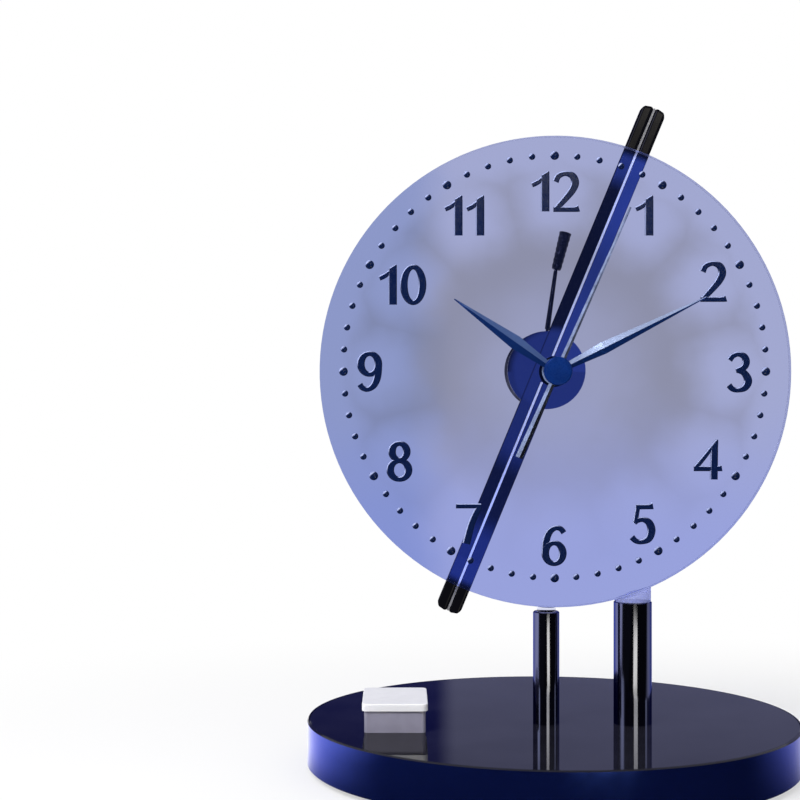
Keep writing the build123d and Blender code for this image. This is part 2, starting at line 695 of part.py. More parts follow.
# Saddles: a neck hollowed to the rim of the dial, and a spigot in the bore of the post
def saddle(place, top, neck_r, bore_r):
    """Clear saddle on top of a post."""
    column(top, AXIS_Z, neck_r, [place])
    disc(DIAL_Y - 2 * neck_r, DIAL_Y + 2 * neck_r, DIAL_R + BOND, mode=Mode.SUBTRACT)
    column(top - SPIGOT_L, top, bore_r - BOND, [place])


with BuildPart() as thin_saddle:
    saddle(THIN_PLACE, THIN_TOP, THIN_NECK_R, THIN_BORE_R)

with BuildPart() as thick_saddle:
    saddle(THICK_PLACE, THICK_TOP, THICK_NECK_R, THICK_BORE_R)


# Lamps under the saddles: a flange that fits the bore, a body and a round nose
def lamp_base(top):
    """Height of the underside of a lamp."""
    return top - SPIGOT_L - END_PLAY - LAMP_FLANGE_H - LAMP_H


def lamp(place, top, lamp_r, bore_r):
    """Round-nosed lamp."""
    base = lamp_base(top)
    column(base, base + LAMP_FLANGE_H, bore_r - RUNNING, [place])
    with BuildSketch(Plane.XZ.offset(-place[1])) as profile:
        with BuildLine():
            nose = base + LAMP_FLANGE_H + LAMP_H
            side = Line((place[0] + lamp_r, base + LAMP_FLANGE_H), (place[0] + lamp_r, nose - lamp_r))
            round_nose = TangentArc(side @ 1, (place[0], nose), tangent=side % 1)
            Polyline(round_nose @ 1, (place[0], base + LAMP_FLANGE_H), side @ 0)
        make_face()
    revolve(profile.sketch, axis=Axis((place[0], place[1], 0), (0, 0, 1)))


with BuildPart() as post_lamps:
    lamp(THIN_PLACE, THIN_TOP, THIN_LAMP_R, THIN_BORE_R)
    lamp(THICK_PLACE, THICK_TOP, THICK_LAMP_R, THICK_BORE_R)


# Leads
def post_lead(x, top):
    """Lead from a lamp down its post and along to the light board."""
    lead([(x, DIAL_Y, lamp_base(top)), (x, DIAL_Y, LEAD_Z), (x, BOARD_BACK, LEAD_Z)], LEAD_BEND)


with BuildPart() as thin_post_lead:
    post_lead(THIN_X, THIN_TOP)

with BuildPart() as thick_post_lead:
    post_lead(THICK_X, THICK_TOP)

with BuildPart() as battery_leads:
    for cell_y, lead_x in zip(CELL_YS, BATTERY_LEAD_XS):
        tail_end = (TRAY_RIGHT + TAIL_L, cell_y, LEAD_Z)
        lead([tail_end, (lead_x, cell_y, LEAD_Z), (lead_x, BOARD_BACK, LEAD_Z)], LEAD_BEND)

with BuildPart() as key_lead:
    run_z = (BOARD_TOP + DECK_BOTTOM - END_PLAY) / 2
    lead(
        [
            (KEY_X, KEY_LEAD_Y, BASE_H + KEY_BOARD_T),
            (KEY_X, KEY_LEAD_Y, run_z),
            (BOARD_LEFT - KEY_LEAD_RUN, KEY_TERMINAL_Y, run_z),
            (BOARD_LEFT, KEY_TERMINAL_Y, run_z),
        ],
        (KEY_LEAD_DROP_BEND, KEY_LEAD_BEND),
    )

# Dial with its raised dots
with BuildPart() as dial_glass:
    disc(DIAL_FRONT, DIAL_BACK, DIAL_R)
    chamfer(dial_glass.edges().filter_by(GeomType.CIRCLE), DIAL_EDGE)
    disc(DIAL_FRONT, DIAL_BACK, BUSH_R + PLAY, mode=Mode.SUBTRACT)

with BuildPart() as minute_pips:
    for i in range(PIP_COUNT):
        on_hour = i % PIPS_PER_HOUR == 0
        foot_r = HOUR_PIP_R if on_hour else PIP_R
        crown_r = HOUR_PIP_TOP_R if on_hour else PIP_TOP_R
        place = towards(AXIS, PIP_RING, 360 * i / PIP_COUNT)
        with BuildSketch(facing(DIAL_FRONT, place)):
            Circle(foot_r)
        with BuildSketch(facing(DIAL_FRONT - PIP_H, place)):
            Circle(crown_r)
        loft()

# Clamp of dial, bar and capsule on the bush
with BuildPart() as dial_washer:
    disc(DIAL_NUT_REAR, DIAL_FRONT, DIAL_WASHER_R)
    disc(DIAL_NUT_REAR, DIAL_FRONT, BUSH_R + BOND, mode=Mode.SUBTRACT)

with BuildPart() as dial_nut:
    with BuildSketch(facing(DIAL_NUT_REAR)):
        RegularPolygon(DIAL_NUT_R, NUT_SIDES)
        Circle(BUSH_R + PUSHED_ON, mode=Mode.SUBTRACT)
    extrude(amount=DIAL_NUT_T)

with BuildPart() as dial_gasket:
    disc(DIAL_BACK, BAR_FRONT, GASKET_R)
    disc(DIAL_BACK, BAR_FRONT, BUSH_R + BOND, mode=Mode.SUBTRACT)

# Carrier bar: two rails on a web, a hub disc, and a boss that meets the gasket
BAR_L = BAR_UP + BAR_DOWN
RAIL_APART = RAIL_W + RAIL_GAP
INLAY_W = RAIL_GAP - 2 * PUSHED_ON
INLAY_T = RAIL_T / 2 - INLAY_SUNK
with BuildPart() as carrier_bar:
    with BuildSketch(along(BAR_LEAN, -BAR_DOWN, RAIL_Y, HUB)):
        with GridLocations(RAIL_APART, 0, 2, 1):
            RectangleRounded(RAIL_W, RAIL_T, RAIL_CORNER)
    extrude(amount=BAR_L)
    lengthwise = Axis((0, 0, 0), along(BAR_LEAN, 0, RAIL_Y).z_dir)
    fillet(carrier_bar.faces().filter_by(lengthwise).edges(), RAIL_END)
    with BuildSketch(along(BAR_LEAN, -BAR_DOWN + RAIL_END, RAIL_Y, HUB)):
        Rectangle(RAIL_APART, RAIL_T / 2, align=(Align.CENTER, Align.MIN))
    extrude(amount=BAR_L - 2 * RAIL_END)
    disc(RAIL_Y, CAPSULE_FRONT, CAPSULE_R, HUB)
    disc(BAR_FRONT, CAPSULE_FRONT, GASKET_R)
    disc(BAR_FRONT, CAPSULE_FRONT, BUSH_R + BOND, mode=Mode.SUBTRACT)

# Inlays between the rails, from the boss to the ends of the web
BOSS_ALONG = -HUB_X * sin(radians(BAR_LEAN)) - HUB_Z * cos(radians(BAR_LEAN))
BOSS_ASIDE = -HUB_X * cos(radians(BAR_LEAN)) + HUB_Z * sin(radians(BAR_LEAN))
BOSS_HALF = sqrt(GASKET_R**2 - (abs(BOSS_ASIDE) - INLAY_W / 2) ** 2) + PLAY
INLAY_SPANS = (
    (-BAR_DOWN + RAIL_END, BOSS_ALONG - BOSS_HALF),
    (BOSS_ALONG + BOSS_HALF, BAR_UP - RAIL_END),
)
with BuildPart() as bar_inlays:
    for start, end in INLAY_SPANS:
        with BuildSketch(along(BAR_LEAN, start, RAIL_Y, HUB)):
            Rectangle(INLAY_W, INLAY_T, align=(Align.CENTER, Align.MAX))
        extrude(amount=end - start)

# Capsule case: a cup with the bush in front, bosses, pivot holes and the stud of the motion wheel
WALL_TOP = HUB_Z + CAPSULE_R - LEVER[1]
SLOT_LEFT = LEVER[0] + WALL_TOP * tan(radians(LEVER_TILT - LEVER_SWING)) - STEM_R - STEM_SLOT_GAP
SLOT_RIGHT = LEVER[0] + WALL_TOP * tan(radians(LEVER_TILT)) + STEM_R + STEM_SLOT_GAP
with BuildPart() as capsule_case:
    disc(CAPSULE_FRONT, CAPSULE_REAR, CAPSULE_R, HUB)
    disc(FLOOR_Y, CAPSULE_REAR, CAPSULE_BORE_R, HUB, Mode.SUBTRACT)
    disc(BUSH_END, CAPSULE_FRONT, BUSH_R)
    disc(BUSH_END, FLOOR_Y, HOUR_PIPE_R + RUNNING, mode=Mode.SUBTRACT)
    for angle in PLATE_BOSS_ANGLES:
        place = polar(HUB, CASE_BOSS_RING, angle)
        disc(FLOOR_Y, PLATE_FRONT, CASE_BOSS_R, place)
        disc(PLATE_FRONT - CASE_HOLE_L, PLATE_FRONT, CASE_SCREW_R + PUSHED_ON, place, Mode.SUBTRACT)
    for angle in COVER_BOSS_ANGLES:
        place = polar(HUB, CASE_BOSS_RING, angle)
        disc(CAPSULE_REAR - COVER_BOSS_L, CAPSULE_REAR, CASE_BOSS_R, place)
        disc(CAPSULE_REAR - CASE_HOLE_L, CAPSULE_REAR, CASE_SCREW_R + PUSHED_ON, place, Mode.SUBTRACT)
    disc(FLOOR_Y - PIVOT_DEPTH, FLOOR_Y, THIRD_ARBOR_R + RUNNING, THIRD, Mode.SUBTRACT)
    disc(FLOOR_Y - PIVOT_DEPTH, FLOOR_Y, SETTING_PIVOT_R + RUNNING, SETTING, Mode.SUBTRACT)
    disc(FLOOR_Y, MOTION_LEVEL + PINION_T / 2, STUD_R, MOTION)
    with BuildSketch(Plane.XY.offset(AXIS_Z + LEVER[1])):
        with Locations(((SLOT_LEFT + SLOT_RIGHT) / 2, LEVER_Y)):
            Rectangle(SLOT_RIGHT - SLOT_LEFT, 2 * (STEM_R + STEM_SLOT_GAP))
    extrude(amount=WALL_TOP + PLAY, mode=Mode.SUBTRACT)

with BuildPart() as capsule_cover:
    disc(CAPSULE_REAR, CAPSULE_REAR + CAPSULE_COVER_T, CAPSULE_R, HUB)
    chamfer(capsule_cover.edges().group_by(Axis.Y)[-1], CAPSULE_EDGE)
    lip_r = CASE_BOSS_RING - CASE_BOSS_R - PLAY
    disc(CAPSULE_REAR - CAPSULE_LIP, CAPSULE_REAR, lip_r, HUB)
    disc(CAPSULE_REAR - CAPSULE_LIP, CAPSULE_REAR, lip_r - CAPSULE_WALL, HUB, Mode.SUBTRACT)
    for angle in COVER_BOSS_ANGLES:
        place = polar(HUB, CASE_BOSS_RING, angle)
        disc(CAPSULE_REAR, CAPSULE_REAR + CAPSULE_COVER_T, CASE_SCREW_R + BOND, place, Mode.SUBTRACT)
    disc(
        CAPSULE_REAR - CAPSULE_LIP,
        CAPSULE_REAR + CAPSULE_COVER_T,
        SETTING_SHAFT_R + RUNNING,
        SETTING,
        Mode.SUBTRACT,
    )

with BuildPart() as capsule_screws:
    for angle in COVER_BOSS_ANGLES:
        place = polar(HUB, CASE_BOSS_RING, angle)
        outside = CAPSULE_REAR + CAPSULE_COVER_T
        disc(CAPSULE_REAR - CASE_SCREW_BITE, outside, CASE_SCREW_R, place)
        disc(outside, outside + CASE_HEAD_H, CASE_HEAD_R, place)

# Movement plate with the pillars of the motor, and its screws
PILLAR_PLACES = [polar(AXIS, PILLAR_RING, angle) for angle in PILLAR_ANGLES]
with BuildPart() as movement_plate:
    disc(PLATE_FRONT, PLATE_BACK, CAPSULE_BORE_R - PLAY, HUB)
    for place in PILLAR_PLACES:
        disc(PLATE_BACK, STATOR_FRONT, PILLAR_SHOULDER_R, place)
        disc(STATOR_FRONT, BOARD_REAR, PILLAR_R, place)
    for angle in PLATE_BOSS_ANGLES:
        place = polar(HUB, CASE_BOSS_RING, angle)
        disc(PLATE_FRONT, PLATE_BACK, CASE_SCREW_R + BOND, place, Mode.SUBTRACT)
    disc(PLATE_FRONT, PLATE_BACK, ARBOR_R + RUNNING, mode=Mode.SUBTRACT)
    disc(PLATE_FRONT, PLATE_BACK, THIRD_ARBOR_R + RUNNING, THIRD, Mode.SUBTRACT)
    disc(PLATE_FRONT, PLATE_BACK, SETTING_SHAFT_R + RUNNING, SETTING, Mode.SUBTRACT)
    disc(PLATE_FRONT, PLATE_BACK, LEVER_PIN_R + PUSHED_ON, LEVER, Mode.SUBTRACT)

with BuildPart() as plate_screws:
    for angle in PLATE_BOSS_ANGLES:
        place = polar(HUB, CASE_BOSS_RING, angle)
        disc(PLATE_FRONT - CASE_SCREW_BITE, PLATE_BACK, CASE_SCREW_R, place)
        disc(PLATE_BACK, PLATE_BACK + CASE_HEAD_H, CASE_HEAD_R, place)

with BuildPart() as motor_stator:
    for front in (STATOR_FRONT, COIL_REAR):
        with BuildSketch(facing(front + STATOR_T)):
            Circle(STATOR_R)
            with Locations(*PILLAR_PLACES):
                Circle(STATOR_EAR_R)
            Circle(STATOR_IN_R, mode=Mode.SUBTRACT)
            with PolarLocations((STATOR_IN_R + POLE_SLOT_R) / 2, STATOR_POLES):
                Rectangle(POLE_SLOT_R - STATOR_IN_R + POLE_SLOT_W, POLE_SLOT_W, mode=Mode.SUBTRACT)
            with Locations(*PILLAR_PLACES):
                Circle(PILLAR_R + PUSHED_ON, mode=Mode.SUBTRACT)
        extrude(amount=STATOR_T)

with BuildPart() as motor_coil:
    disc(COIL_FRONT, COIL_REAR, COIL_OUT_R)
    disc(COIL_FRONT, COIL_REAR, COIL_IN_R, mode=Mode.SUBTRACT)

with BuildPart() as movement_board:
    disc(BOARD_FRONT, BOARD_REAR, MOVEMENT_BOARD_R, HUB)
    for place in PILLAR_PLACES:
        disc(BOARD_FRONT, BOARD_REAR, PILLAR_R + PUSHED_ON, place, Mode.SUBTRACT)
    disc(BOARD_FRONT, BOARD_REAR, SETTING_SHAFT_R + END_PLAY, SETTING, Mode.SUBTRACT)

with BuildPart() as coin_cell:
    disc(BOARD_REAR, COIN_REAR, COIN_R, HUB)
    chamfer(coin_cell.edges().group_by(Axis.Y)[0], COIN_RIM)

# Spring between the cell and the cover: a folded strip
with BuildPart() as cell_spring:
    with BuildSketch(Plane.XY.offset(AXIS_Z + HUB_Z - SPRING_W / 2)):
        with BuildLine():
            outer = [
                (HUB_X - SPRING_REACH - SPRING_FOOT, COIN_REAR),
                (HUB_X - SPRING_REACH, COIN_REAR),
                (HUB_X - SPRING_BASE, CAPSULE_REAR - SPRING_T),
                (HUB_X + SPRING_BASE, CAPSULE_REAR - SPRING_T),
                (HUB_X + SPRING_REACH, COIN_REAR),
                (HUB_X + SPRING_REACH + SPRING_FOOT, COIN_REAR),
            ]
            inner = [
                (HUB_X + SPRING_REACH + SPRING_FOOT, COIN_REAR + SPRING_T),
                (HUB_X + SPRING_REACH + SPRING_T, COIN_REAR + SPRING_T),
                (HUB_X + SPRING_BASE + SPRING_T, CAPSULE_REAR),
                (HUB_X - SPRING_BASE - SPRING_T, CAPSULE_REAR),
                (HUB_X - SPRING_REACH - SPRING_T, COIN_REAR + SPRING_T),
                (HUB_X - SPRING_REACH - SPRING_FOOT, COIN_REAR + SPRING_T),
            ]
            Polyline(*outer, *inner, close=True)
        make_face()
    extrude(amount=SPRING_W)

# Seconds: arbor with pinion and brake disc, magnet, hand and cap
BRAKE_FRONT = LEVER_Y - BRAKE_T / 2
ROTOR_FRONT = COIL_FRONT + (COIL_T - ROTOR_T) / 2
ARBOR_FRONT = CAP_REAR - CAP_T / 2
with BuildPart() as seconds_arbor:
    disc(ARBOR_FRONT, ROTOR_FRONT + ROTOR_T + END_PLAY, ARBOR_R)
    pinion(THIRD_LEVEL, AXIS, SECONDS_TEETH, TRAIN_MODULE, 180 + 180 / SECONDS_TEETH)
    disc(BRAKE_FRONT, BRAKE_FRONT + BRAKE_T, BRAKE_R)

with BuildPart() as rotor_magnet:
    disc(ROTOR_FRONT, ROTOR_FRONT + ROTOR_T, ROTOR_R)
    disc(ROTOR_FRONT, ROTOR_FRONT + ROTOR_T, ARBOR_R + PUSHED_ON, mode=Mode.SUBTRACT)

with BuildPart() as second_hand:
    stations = (
        (-SECOND_TAIL, SECOND_TAIL_W, SECOND_T),
        (0, SECOND_W, SECOND_T),
        (SECOND_L, SECOND_TIP_W, TIP_T),
    )
    blade(SECOND_ANGLE, SECOND_REAR, stations)
    disc(SECOND_REAR - SECOND_T, SECOND_REAR, SECOND_BOSS_R)
    disc(SECOND_REAR - SECOND_T, SECOND_REAR, ARBOR_R + PUSHED_ON, mode=Mode.SUBTRACT)

with BuildPart() as centre_cap:
    disc(CAP_REAR - CAP_T, CAP_REAR, CAP_R)
    fillet(centre_cap.edges().group_by(Axis.Y)[0], CAP_EDGE)
    disc(ARBOR_FRONT - PLAY, CAP_REAR, ARBOR_R + PUSHED_ON, mode=Mode.SUBTRACT)

# Third wheel and pinion on one arbor
with BuildPart() as third_wheel:
    disc(FLOOR_Y - PIVOT_DEPTH + PLAY, PLATE_BACK - PLAY, THIRD_ARBOR_R, THIRD)
    wheel(THIRD_LEVEL, THIRD, THIRD_TEETH, TRAIN_MODULE, 0)
    pinion(MINUTE_LEVEL, THIRD, THIRD_PINION_TEETH, MINUTE_MODULE, 0)

# Minute wheel, cannon pinion and pipe in one, and the minute hand
MINUTE_PIPE_END = MINUTE_REAR - HAND_T - PIPE_OVER
MINUTE_WHEEL_REAR = MINUTE_LEVEL + WHEEL_T / 2
with BuildPart() as minute_wheel:
    wheel(MINUTE_LEVEL, AXIS, MINUTE_TEETH, MINUTE_MODULE, 180 + 180 / MINUTE_TEETH)
    pinion(MOTION_LEVEL, AXIS, CANNON_TEETH, MOTION_MODULE, MOTION_BEARING)
    disc(MINUTE_PIPE_END, MINUTE_LEVEL, MINUTE_PIPE_R)
    disc(MINUTE_PIPE_END, MINUTE_WHEEL_REAR, ARBOR_R + RUNNING, mode=Mode.SUBTRACT)

with BuildPart() as minute_hand:
    stations = (
        (0, ROOT_W, HAND_T),
        (MINUTE_WIDEST, MINUTE_W, HAND_T),
        (MINUTE_L, TIP_W, TIP_T),
    )
    blade(MINUTE_ANGLE, MINUTE_REAR, stations)
    disc(MINUTE_REAR - HAND_T, MINUTE_REAR, MINUTE_BOSS_R)
    disc(MINUTE_REAR - HAND_T, MINUTE_REAR, MINUTE_PIPE_R + PUSHED_ON, mode=Mode.SUBTRACT)

# Motion wheel and pinion on the stud
with BuildPart() as motion_wheel:
    wheel(MOTION_LEVEL, MOTION, MOTION_TEETH, MOTION_MODULE, MOTION_BEARING + 180 + 180 / MOTION_TEETH)
    pinion(HOUR_LEVEL, MOTION, MOTION_PINION_TEETH, HOUR_MODULE, MOTION_BEARING + 180)
    disc(HOUR_LEVEL + PINION_T / 2, MOTION_LEVEL, STUD_R + HUB_WALL, MOTION)
    disc(HOUR_LEVEL - PINION_T, MOTION_LEVEL + PINION_T, STUD_R + RUNNING, MOTION, Mode.SUBTRACT)

# Hour wheel and pipe, and the hour hand
HOUR_PIPE_END = HOUR_REAR - HAND_T - PIPE_OVER
with BuildPart() as hour_wheel:
    wheel(HOUR_LEVEL, AXIS, HOUR_TEETH, HOUR_MODULE, MOTION_BEARING + 180 / HOUR_TEETH)
    disc(HOUR_PIPE_END, HOUR_LEVEL, HOUR_PIPE_R)
    disc(HOUR_PIPE_END, HOUR_LEVEL + WHEEL_T, MINUTE_PIPE_R + RUNNING, mode=Mode.SUBTRACT)

with BuildPart() as hour_hand:
    stations = (
        (0, ROOT_W, HAND_T),
        (HOUR_WIDEST, HOUR_W, HAND_T),
        (HOUR_L, TIP_W, TIP_T),
    )
    blade(HOUR_ANGLE, HOUR_REAR, stations)
    disc(HOUR_REAR - HAND_T, HOUR_REAR, HOUR_BOSS_R)
    disc(HOUR_REAR - HAND_T, HOUR_REAR, HOUR_PIPE_R + PUSHED_ON, mode=Mode.SUBTRACT)

# Setting knob behind the cover, with its shaft, pinion and the collar that keeps it from pulling out
KNOB_FRONT = CAPSULE_REAR + CAPSULE_COVER_T + END_PLAY
with BuildPart() as setting_knob:
    with BuildSketch(facing(KNOB_FRONT + KNOB_T, SETTING)):
        Circle(KNOB_R)
        with PolarLocations(KNOB_R, KNOB_GROOVES):
            Circle(KNOB_GROOVE_R, mode=Mode.SUBTRACT)
    extrude(amount=KNOB_T)
    disc(MOTION_LEVEL, KNOB_FRONT, SETTING_SHAFT_R, SETTING)
    disc(FLOOR_Y - PIVOT_DEPTH + PLAY, MOTION_LEVEL, SETTING_PIVOT_R, SETTING)
    pinion(MOTION_LEVEL, SETTING, SETTING_TEETH, MOTION_MODULE, SETTING_BEARING + 180)
    disc(PLATE_FRONT - END_PLAY - COLLAR_T, PLATE_FRONT - END_PLAY, COLLAR_R, SETTING)

# Stop lever: an eye on its pin, an arm with a brake shoe, and the stem that leaves the capsule
LEVER_FRONT = LEVER_Y - LEVER_T / 2
LEVER_REAR = LEVER_Y + LEVER_T / 2
STEM_TOP = towards(LEVER, STEM_L, LEVER_TILT)
with BuildPart() as stop_lever:
    disc(LEVER_FRONT, LEVER_REAR, LEVER_EYE_R, LEVER)
    with BuildSketch(facing(LEVER_REAR)):
        with Locations(towards(LEVER, ARM_L / 2, 180 - ARM_LEAN)):
            SlotCenterToCenter(ARM_L, 2 * ARM_HALF_W, rotation=ARM_LEAN - 90)
    extrude(amount=LEVER_T)
    with BuildLine(facing(LEVER_Y)) as stem:
        start = towards(LEVER, (LEVER_PIN_HEAD_R + LEVER_EYE_R) / 2, LEVER_TILT)
        FilletPolyline(start, STEM_TOP, towards(STEM_TOP, GRIP_HOLD, GRIP_TILT), radius=STEM_BEND)
    with BuildSketch(Plane(origin=stem.line @ 0, z_dir=stem.line % 0)) as stem_section:
        Circle(STEM_R)
    sweep(stem_section.sketch, path=stem.line)
    disc(LEVER_FRONT, LEVER_REAR, LEVER_PIN_R + RUNNING, LEVER, Mode.SUBTRACT)

with BuildPart() as lever_grip:
    with BuildSketch(along(GRIP_TILT, GRIP_START, LEVER_Y, STEM_TOP)):
        Circle(GRIP_FOOT_R)
    with BuildSketch(along(GRIP_TILT, GRIP_START + GRIP_L, LEVER_Y, STEM_TOP)):
        Circle(GRIP_R)
    loft()
    chamfer(lever_grip.edges().filter_by(GeomType.CIRCLE), GRIP_EDGE)
    with BuildSketch(along(GRIP_TILT, GRIP_START, LEVER_Y, STEM_TOP)):
        Circle(STEM_R + PUSHED_ON)
    extrude(amount=GRIP_HOLD - GRIP_START + PLAY, mode=Mode.SUBTRACT)

with BuildPart() as lever_pin:
    disc(PLATE_FRONT, LEVER_REAR + END_PLAY, LEVER_PIN_R, LEVER)
    disc(LEVER_REAR + END_PLAY, LEVER_REAR + END_PLAY + LEVER_PIN_HEAD_T, LEVER_PIN_HEAD_R, LEVER)

# Light key: a housing on the plate, a switch inside it, and a cap whose skirt slides over the housing
KEY_TOP = BASE_H + KEY_H
CAP_UNDER = KEY_TOP - CAP_TOP_T
HOUSING_TOP = CAP_UNDER - KEY_TRAVEL - END_PLAY
HOUSING_ROOF = HOUSING_TOP - KEY_WALL
KEY_ROOM = (KEY_W - 2 * KEY_WALL, KEY_D - 2 * KEY_WALL)
SKIRT_SIZE = (KEY_W + 2 * SKIRT_GAP, KEY_D + 2 * SKIRT_GAP)
KEY_SWITCH_BOTTOM = BASE_H + KEY_BOARD_T
KEY_SWITCH_TOP = KEY_SWITCH_BOTTOM + SWITCH_H
PLUNGER_END = KEY_SWITCH_TOP - PLUNGER_IN


def rounded(bottom, top, size, corner, place, mode=Mode.ADD):
    """Upright block with rounded corners."""
    with BuildSketch(Plane.XY.offset(bottom)) as outline:
        with Locations(place):
            RectangleRounded(*size, corner)
    extrude(outline.sketch, amount=top - bottom, mode=mode)


with BuildPart() as key_housing:
    rounded(BASE_H, HOUSING_TOP, (KEY_W, KEY_D), KEY_CORNER, KEY_PLACE)
    block(BASE_H, HOUSING_ROOF, KEY_ROOM, KEY_PLACE, Mode.SUBTRACT)
    column(BASE_H, HOUSING_ROOF, KEY_BOSS_R, KEY_SCREW_PLACES)
    column(BASE_H, HOUSING_ROOF, KEY_SCREW_R + PUSHED_ON, KEY_SCREW_PLACES, Mode.SUBTRACT)
    column(HOUSING_ROOF, HOUSING_TOP, PLUNGER_R + PLAY, [KEY_PLACE], Mode.SUBTRACT)

with BuildPart() as key_screws:
    column(DECK_BOTTOM - KEY_SCREW_HEAD_H, DECK_BOTTOM, KEY_SCREW_HEAD_R, KEY_SCREW_PLACES)
    column(DECK_BOTTOM, HOUSING_ROOF - END_PLAY, KEY_SCREW_R, KEY_SCREW_PLACES)

with BuildPart() as key_switch:
    board_size = (KEY_ROOM[0] - 2 * PLAY, KEY_SCREW_APART - 2 * KEY_BOSS_R - 2 * PLAY)
    block(BASE_H, KEY_SWITCH_BOTTOM, board_size, KEY_PLACE)
    column(BASE_H, KEY_SWITCH_BOTTOM, LEAD_R + PLAY, [KEY_LEAD_PLACE], Mode.SUBTRACT)
    block(KEY_SWITCH_BOTTOM, KEY_SWITCH_TOP, (SWITCH_SIZE, SWITCH_SIZE), KEY_PLACE)
    bore_end = PLUNGER_END - KEY_TRAVEL - PLAY
    column(bore_end, KEY_SWITCH_TOP, PLUNGER_R + BOND, [KEY_PLACE], Mode.SUBTRACT)

with BuildPart() as key_cap:
    cap_corner = KEY_CORNER + SKIRT_GAP + SKIRT_WALL
    cap_size = (SKIRT_SIZE[0] + 2 * SKIRT_WALL, SKIRT_SIZE[1] + 2 * SKIRT_WALL)
    rounded(KEY_TOP - SKIRT_H, KEY_TOP, cap_size, cap_corner, KEY_PLACE)
    fillet(key_cap.edges().group_by(Axis.Z)[-1], CAP_TOP_T / 2)
    rounded(KEY_TOP - SKIRT_H, CAP_UNDER, SKIRT_SIZE, KEY_CORNER + SKIRT_GAP, KEY_PLACE, Mode.SUBTRACT)
    column(PLUNGER_END, CAP_UNDER, PLUNGER_R, [KEY_PLACE])

# Each piece goes to its own file under its own name
PIECES = {
    "base_shell": base_shell,
    "top_plate": top_plate,
    "bottom_cover": bottom_cover,
    "cover_screws": cover_screws,
    "rubber_feet": rubber_feet,
    "ballast_ring": ballast_ring,
    "battery_tray": battery_tray,
    "battery_cells": battery_cells,
    "battery_contacts": battery_contacts,
    "battery_door": battery_door,
    "door_screw": door_screw,
    "light_board": light_board,
    "board_terminals": board_terminals,
    "board_screws": board_screws,
    "thin_post_lead": thin_post_lead,
    "thick_post_lead": thick_post_lead,
    "battery_leads": battery_leads,
    "key_lead": key_lead,
    "thin_post": thin_post,
    "thick_post": thick_post,
    "post_washers": post_washers,
    "post_nuts": post_nuts,
    "post_lamps": post_lamps,
    "thin_saddle": thin_saddle,
    "thick_saddle": thick_saddle,
    "dial_glass": dial_glass,
    "minute_pips": minute_pips,
    "dial_washer": dial_washer,
    "dial_nut": dial_nut,
    "dial_gasket": dial_gasket,
    "carrier_bar": carrier_bar,
    "bar_inlays": bar_inlays,
    "capsule_case": capsule_case,
    "capsule_cover": capsule_cover,
    "capsule_screws": capsule_screws,
    "movement_plate": movement_plate,
    "plate_screws": plate_screws,
    "motor_stator": motor_stator,
    "motor_coil": motor_coil,
    "movement_board": movement_board,
    "coin_cell": coin_cell,
    "cell_spring": cell_spring,
    "seconds_arbor": seconds_arbor,
    "rotor_magnet": rotor_magnet,
    "second_hand": second_hand,
    "centre_cap": centre_cap,
    "third_wheel": third_wheel,
    "minute_wheel": minute_wheel,
    "minute_hand": minute_hand,
    "motion_wheel": motion_wheel,
    "hour_wheel": hour_wheel,
    "hour_hand": hour_hand,
    "setting_knob": setting_knob,
    "stop_lever": stop_lever,
    "lever_grip": lever_grip,
    "lever_pin": lever_pin,
    "key_housing": key_housing,
    "key_screws": key_screws,
    "key_switch": key_switch,
    "key_cap": key_cap,
}
for name, piece in PIECES.items():
    piece.part.label = name
    export_step(piece.part, f"parts/{name}.step")
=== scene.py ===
import json
import math

import bmesh
import bpy
from bpy.props import FloatProperty, FloatVectorProperty, IntProperty, PointerProperty
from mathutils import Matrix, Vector
from mathutils.geometry import interpolate_bezier

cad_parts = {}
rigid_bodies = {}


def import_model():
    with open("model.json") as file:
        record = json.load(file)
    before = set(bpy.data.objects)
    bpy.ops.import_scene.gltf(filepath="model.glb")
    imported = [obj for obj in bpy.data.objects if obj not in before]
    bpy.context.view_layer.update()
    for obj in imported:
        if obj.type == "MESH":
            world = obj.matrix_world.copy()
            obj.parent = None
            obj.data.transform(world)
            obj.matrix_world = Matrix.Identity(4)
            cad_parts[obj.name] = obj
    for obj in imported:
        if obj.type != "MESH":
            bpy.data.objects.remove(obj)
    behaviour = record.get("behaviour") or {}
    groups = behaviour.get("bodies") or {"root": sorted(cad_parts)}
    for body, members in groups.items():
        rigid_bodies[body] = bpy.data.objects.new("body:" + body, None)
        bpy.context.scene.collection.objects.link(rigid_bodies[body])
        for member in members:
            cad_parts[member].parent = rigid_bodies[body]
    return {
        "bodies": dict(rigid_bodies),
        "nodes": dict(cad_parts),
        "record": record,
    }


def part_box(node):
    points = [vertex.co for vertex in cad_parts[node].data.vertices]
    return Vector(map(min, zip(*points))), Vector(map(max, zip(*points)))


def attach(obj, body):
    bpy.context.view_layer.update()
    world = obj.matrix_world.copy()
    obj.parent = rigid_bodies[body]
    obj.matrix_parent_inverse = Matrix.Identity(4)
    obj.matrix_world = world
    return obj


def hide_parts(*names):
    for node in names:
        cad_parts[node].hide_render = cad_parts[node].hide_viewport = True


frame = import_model()

bl_info = {
    "name": "Mystery Clock",
    "version": (1, 0, 0),
    "blender": (4, 5, 0),
    "location": "3D View > Sidebar > Clock",
    "description": "Finishes, numerals, dots, screws and a studio for the mystery clock",
    "category": "Object",
}

# The frame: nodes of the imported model, their slots and colours, and the box of the CAD model
NODES = frame["nodes"]
RECORD = frame["record"]
COLOUR_OF = {entry["slot"]: entry["base_color"][:3] for entry in RECORD["materials"]}
KEPT = {*NODES.values(), *frame["bodies"].values()}
for leftover in [thing for thing in bpy.data.objects if thing not in KEPT]:
    bpy.data.objects.remove(leftover)
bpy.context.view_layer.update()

MM = 0.001
HOURS = 12
PIPS_PER_HOUR = 5

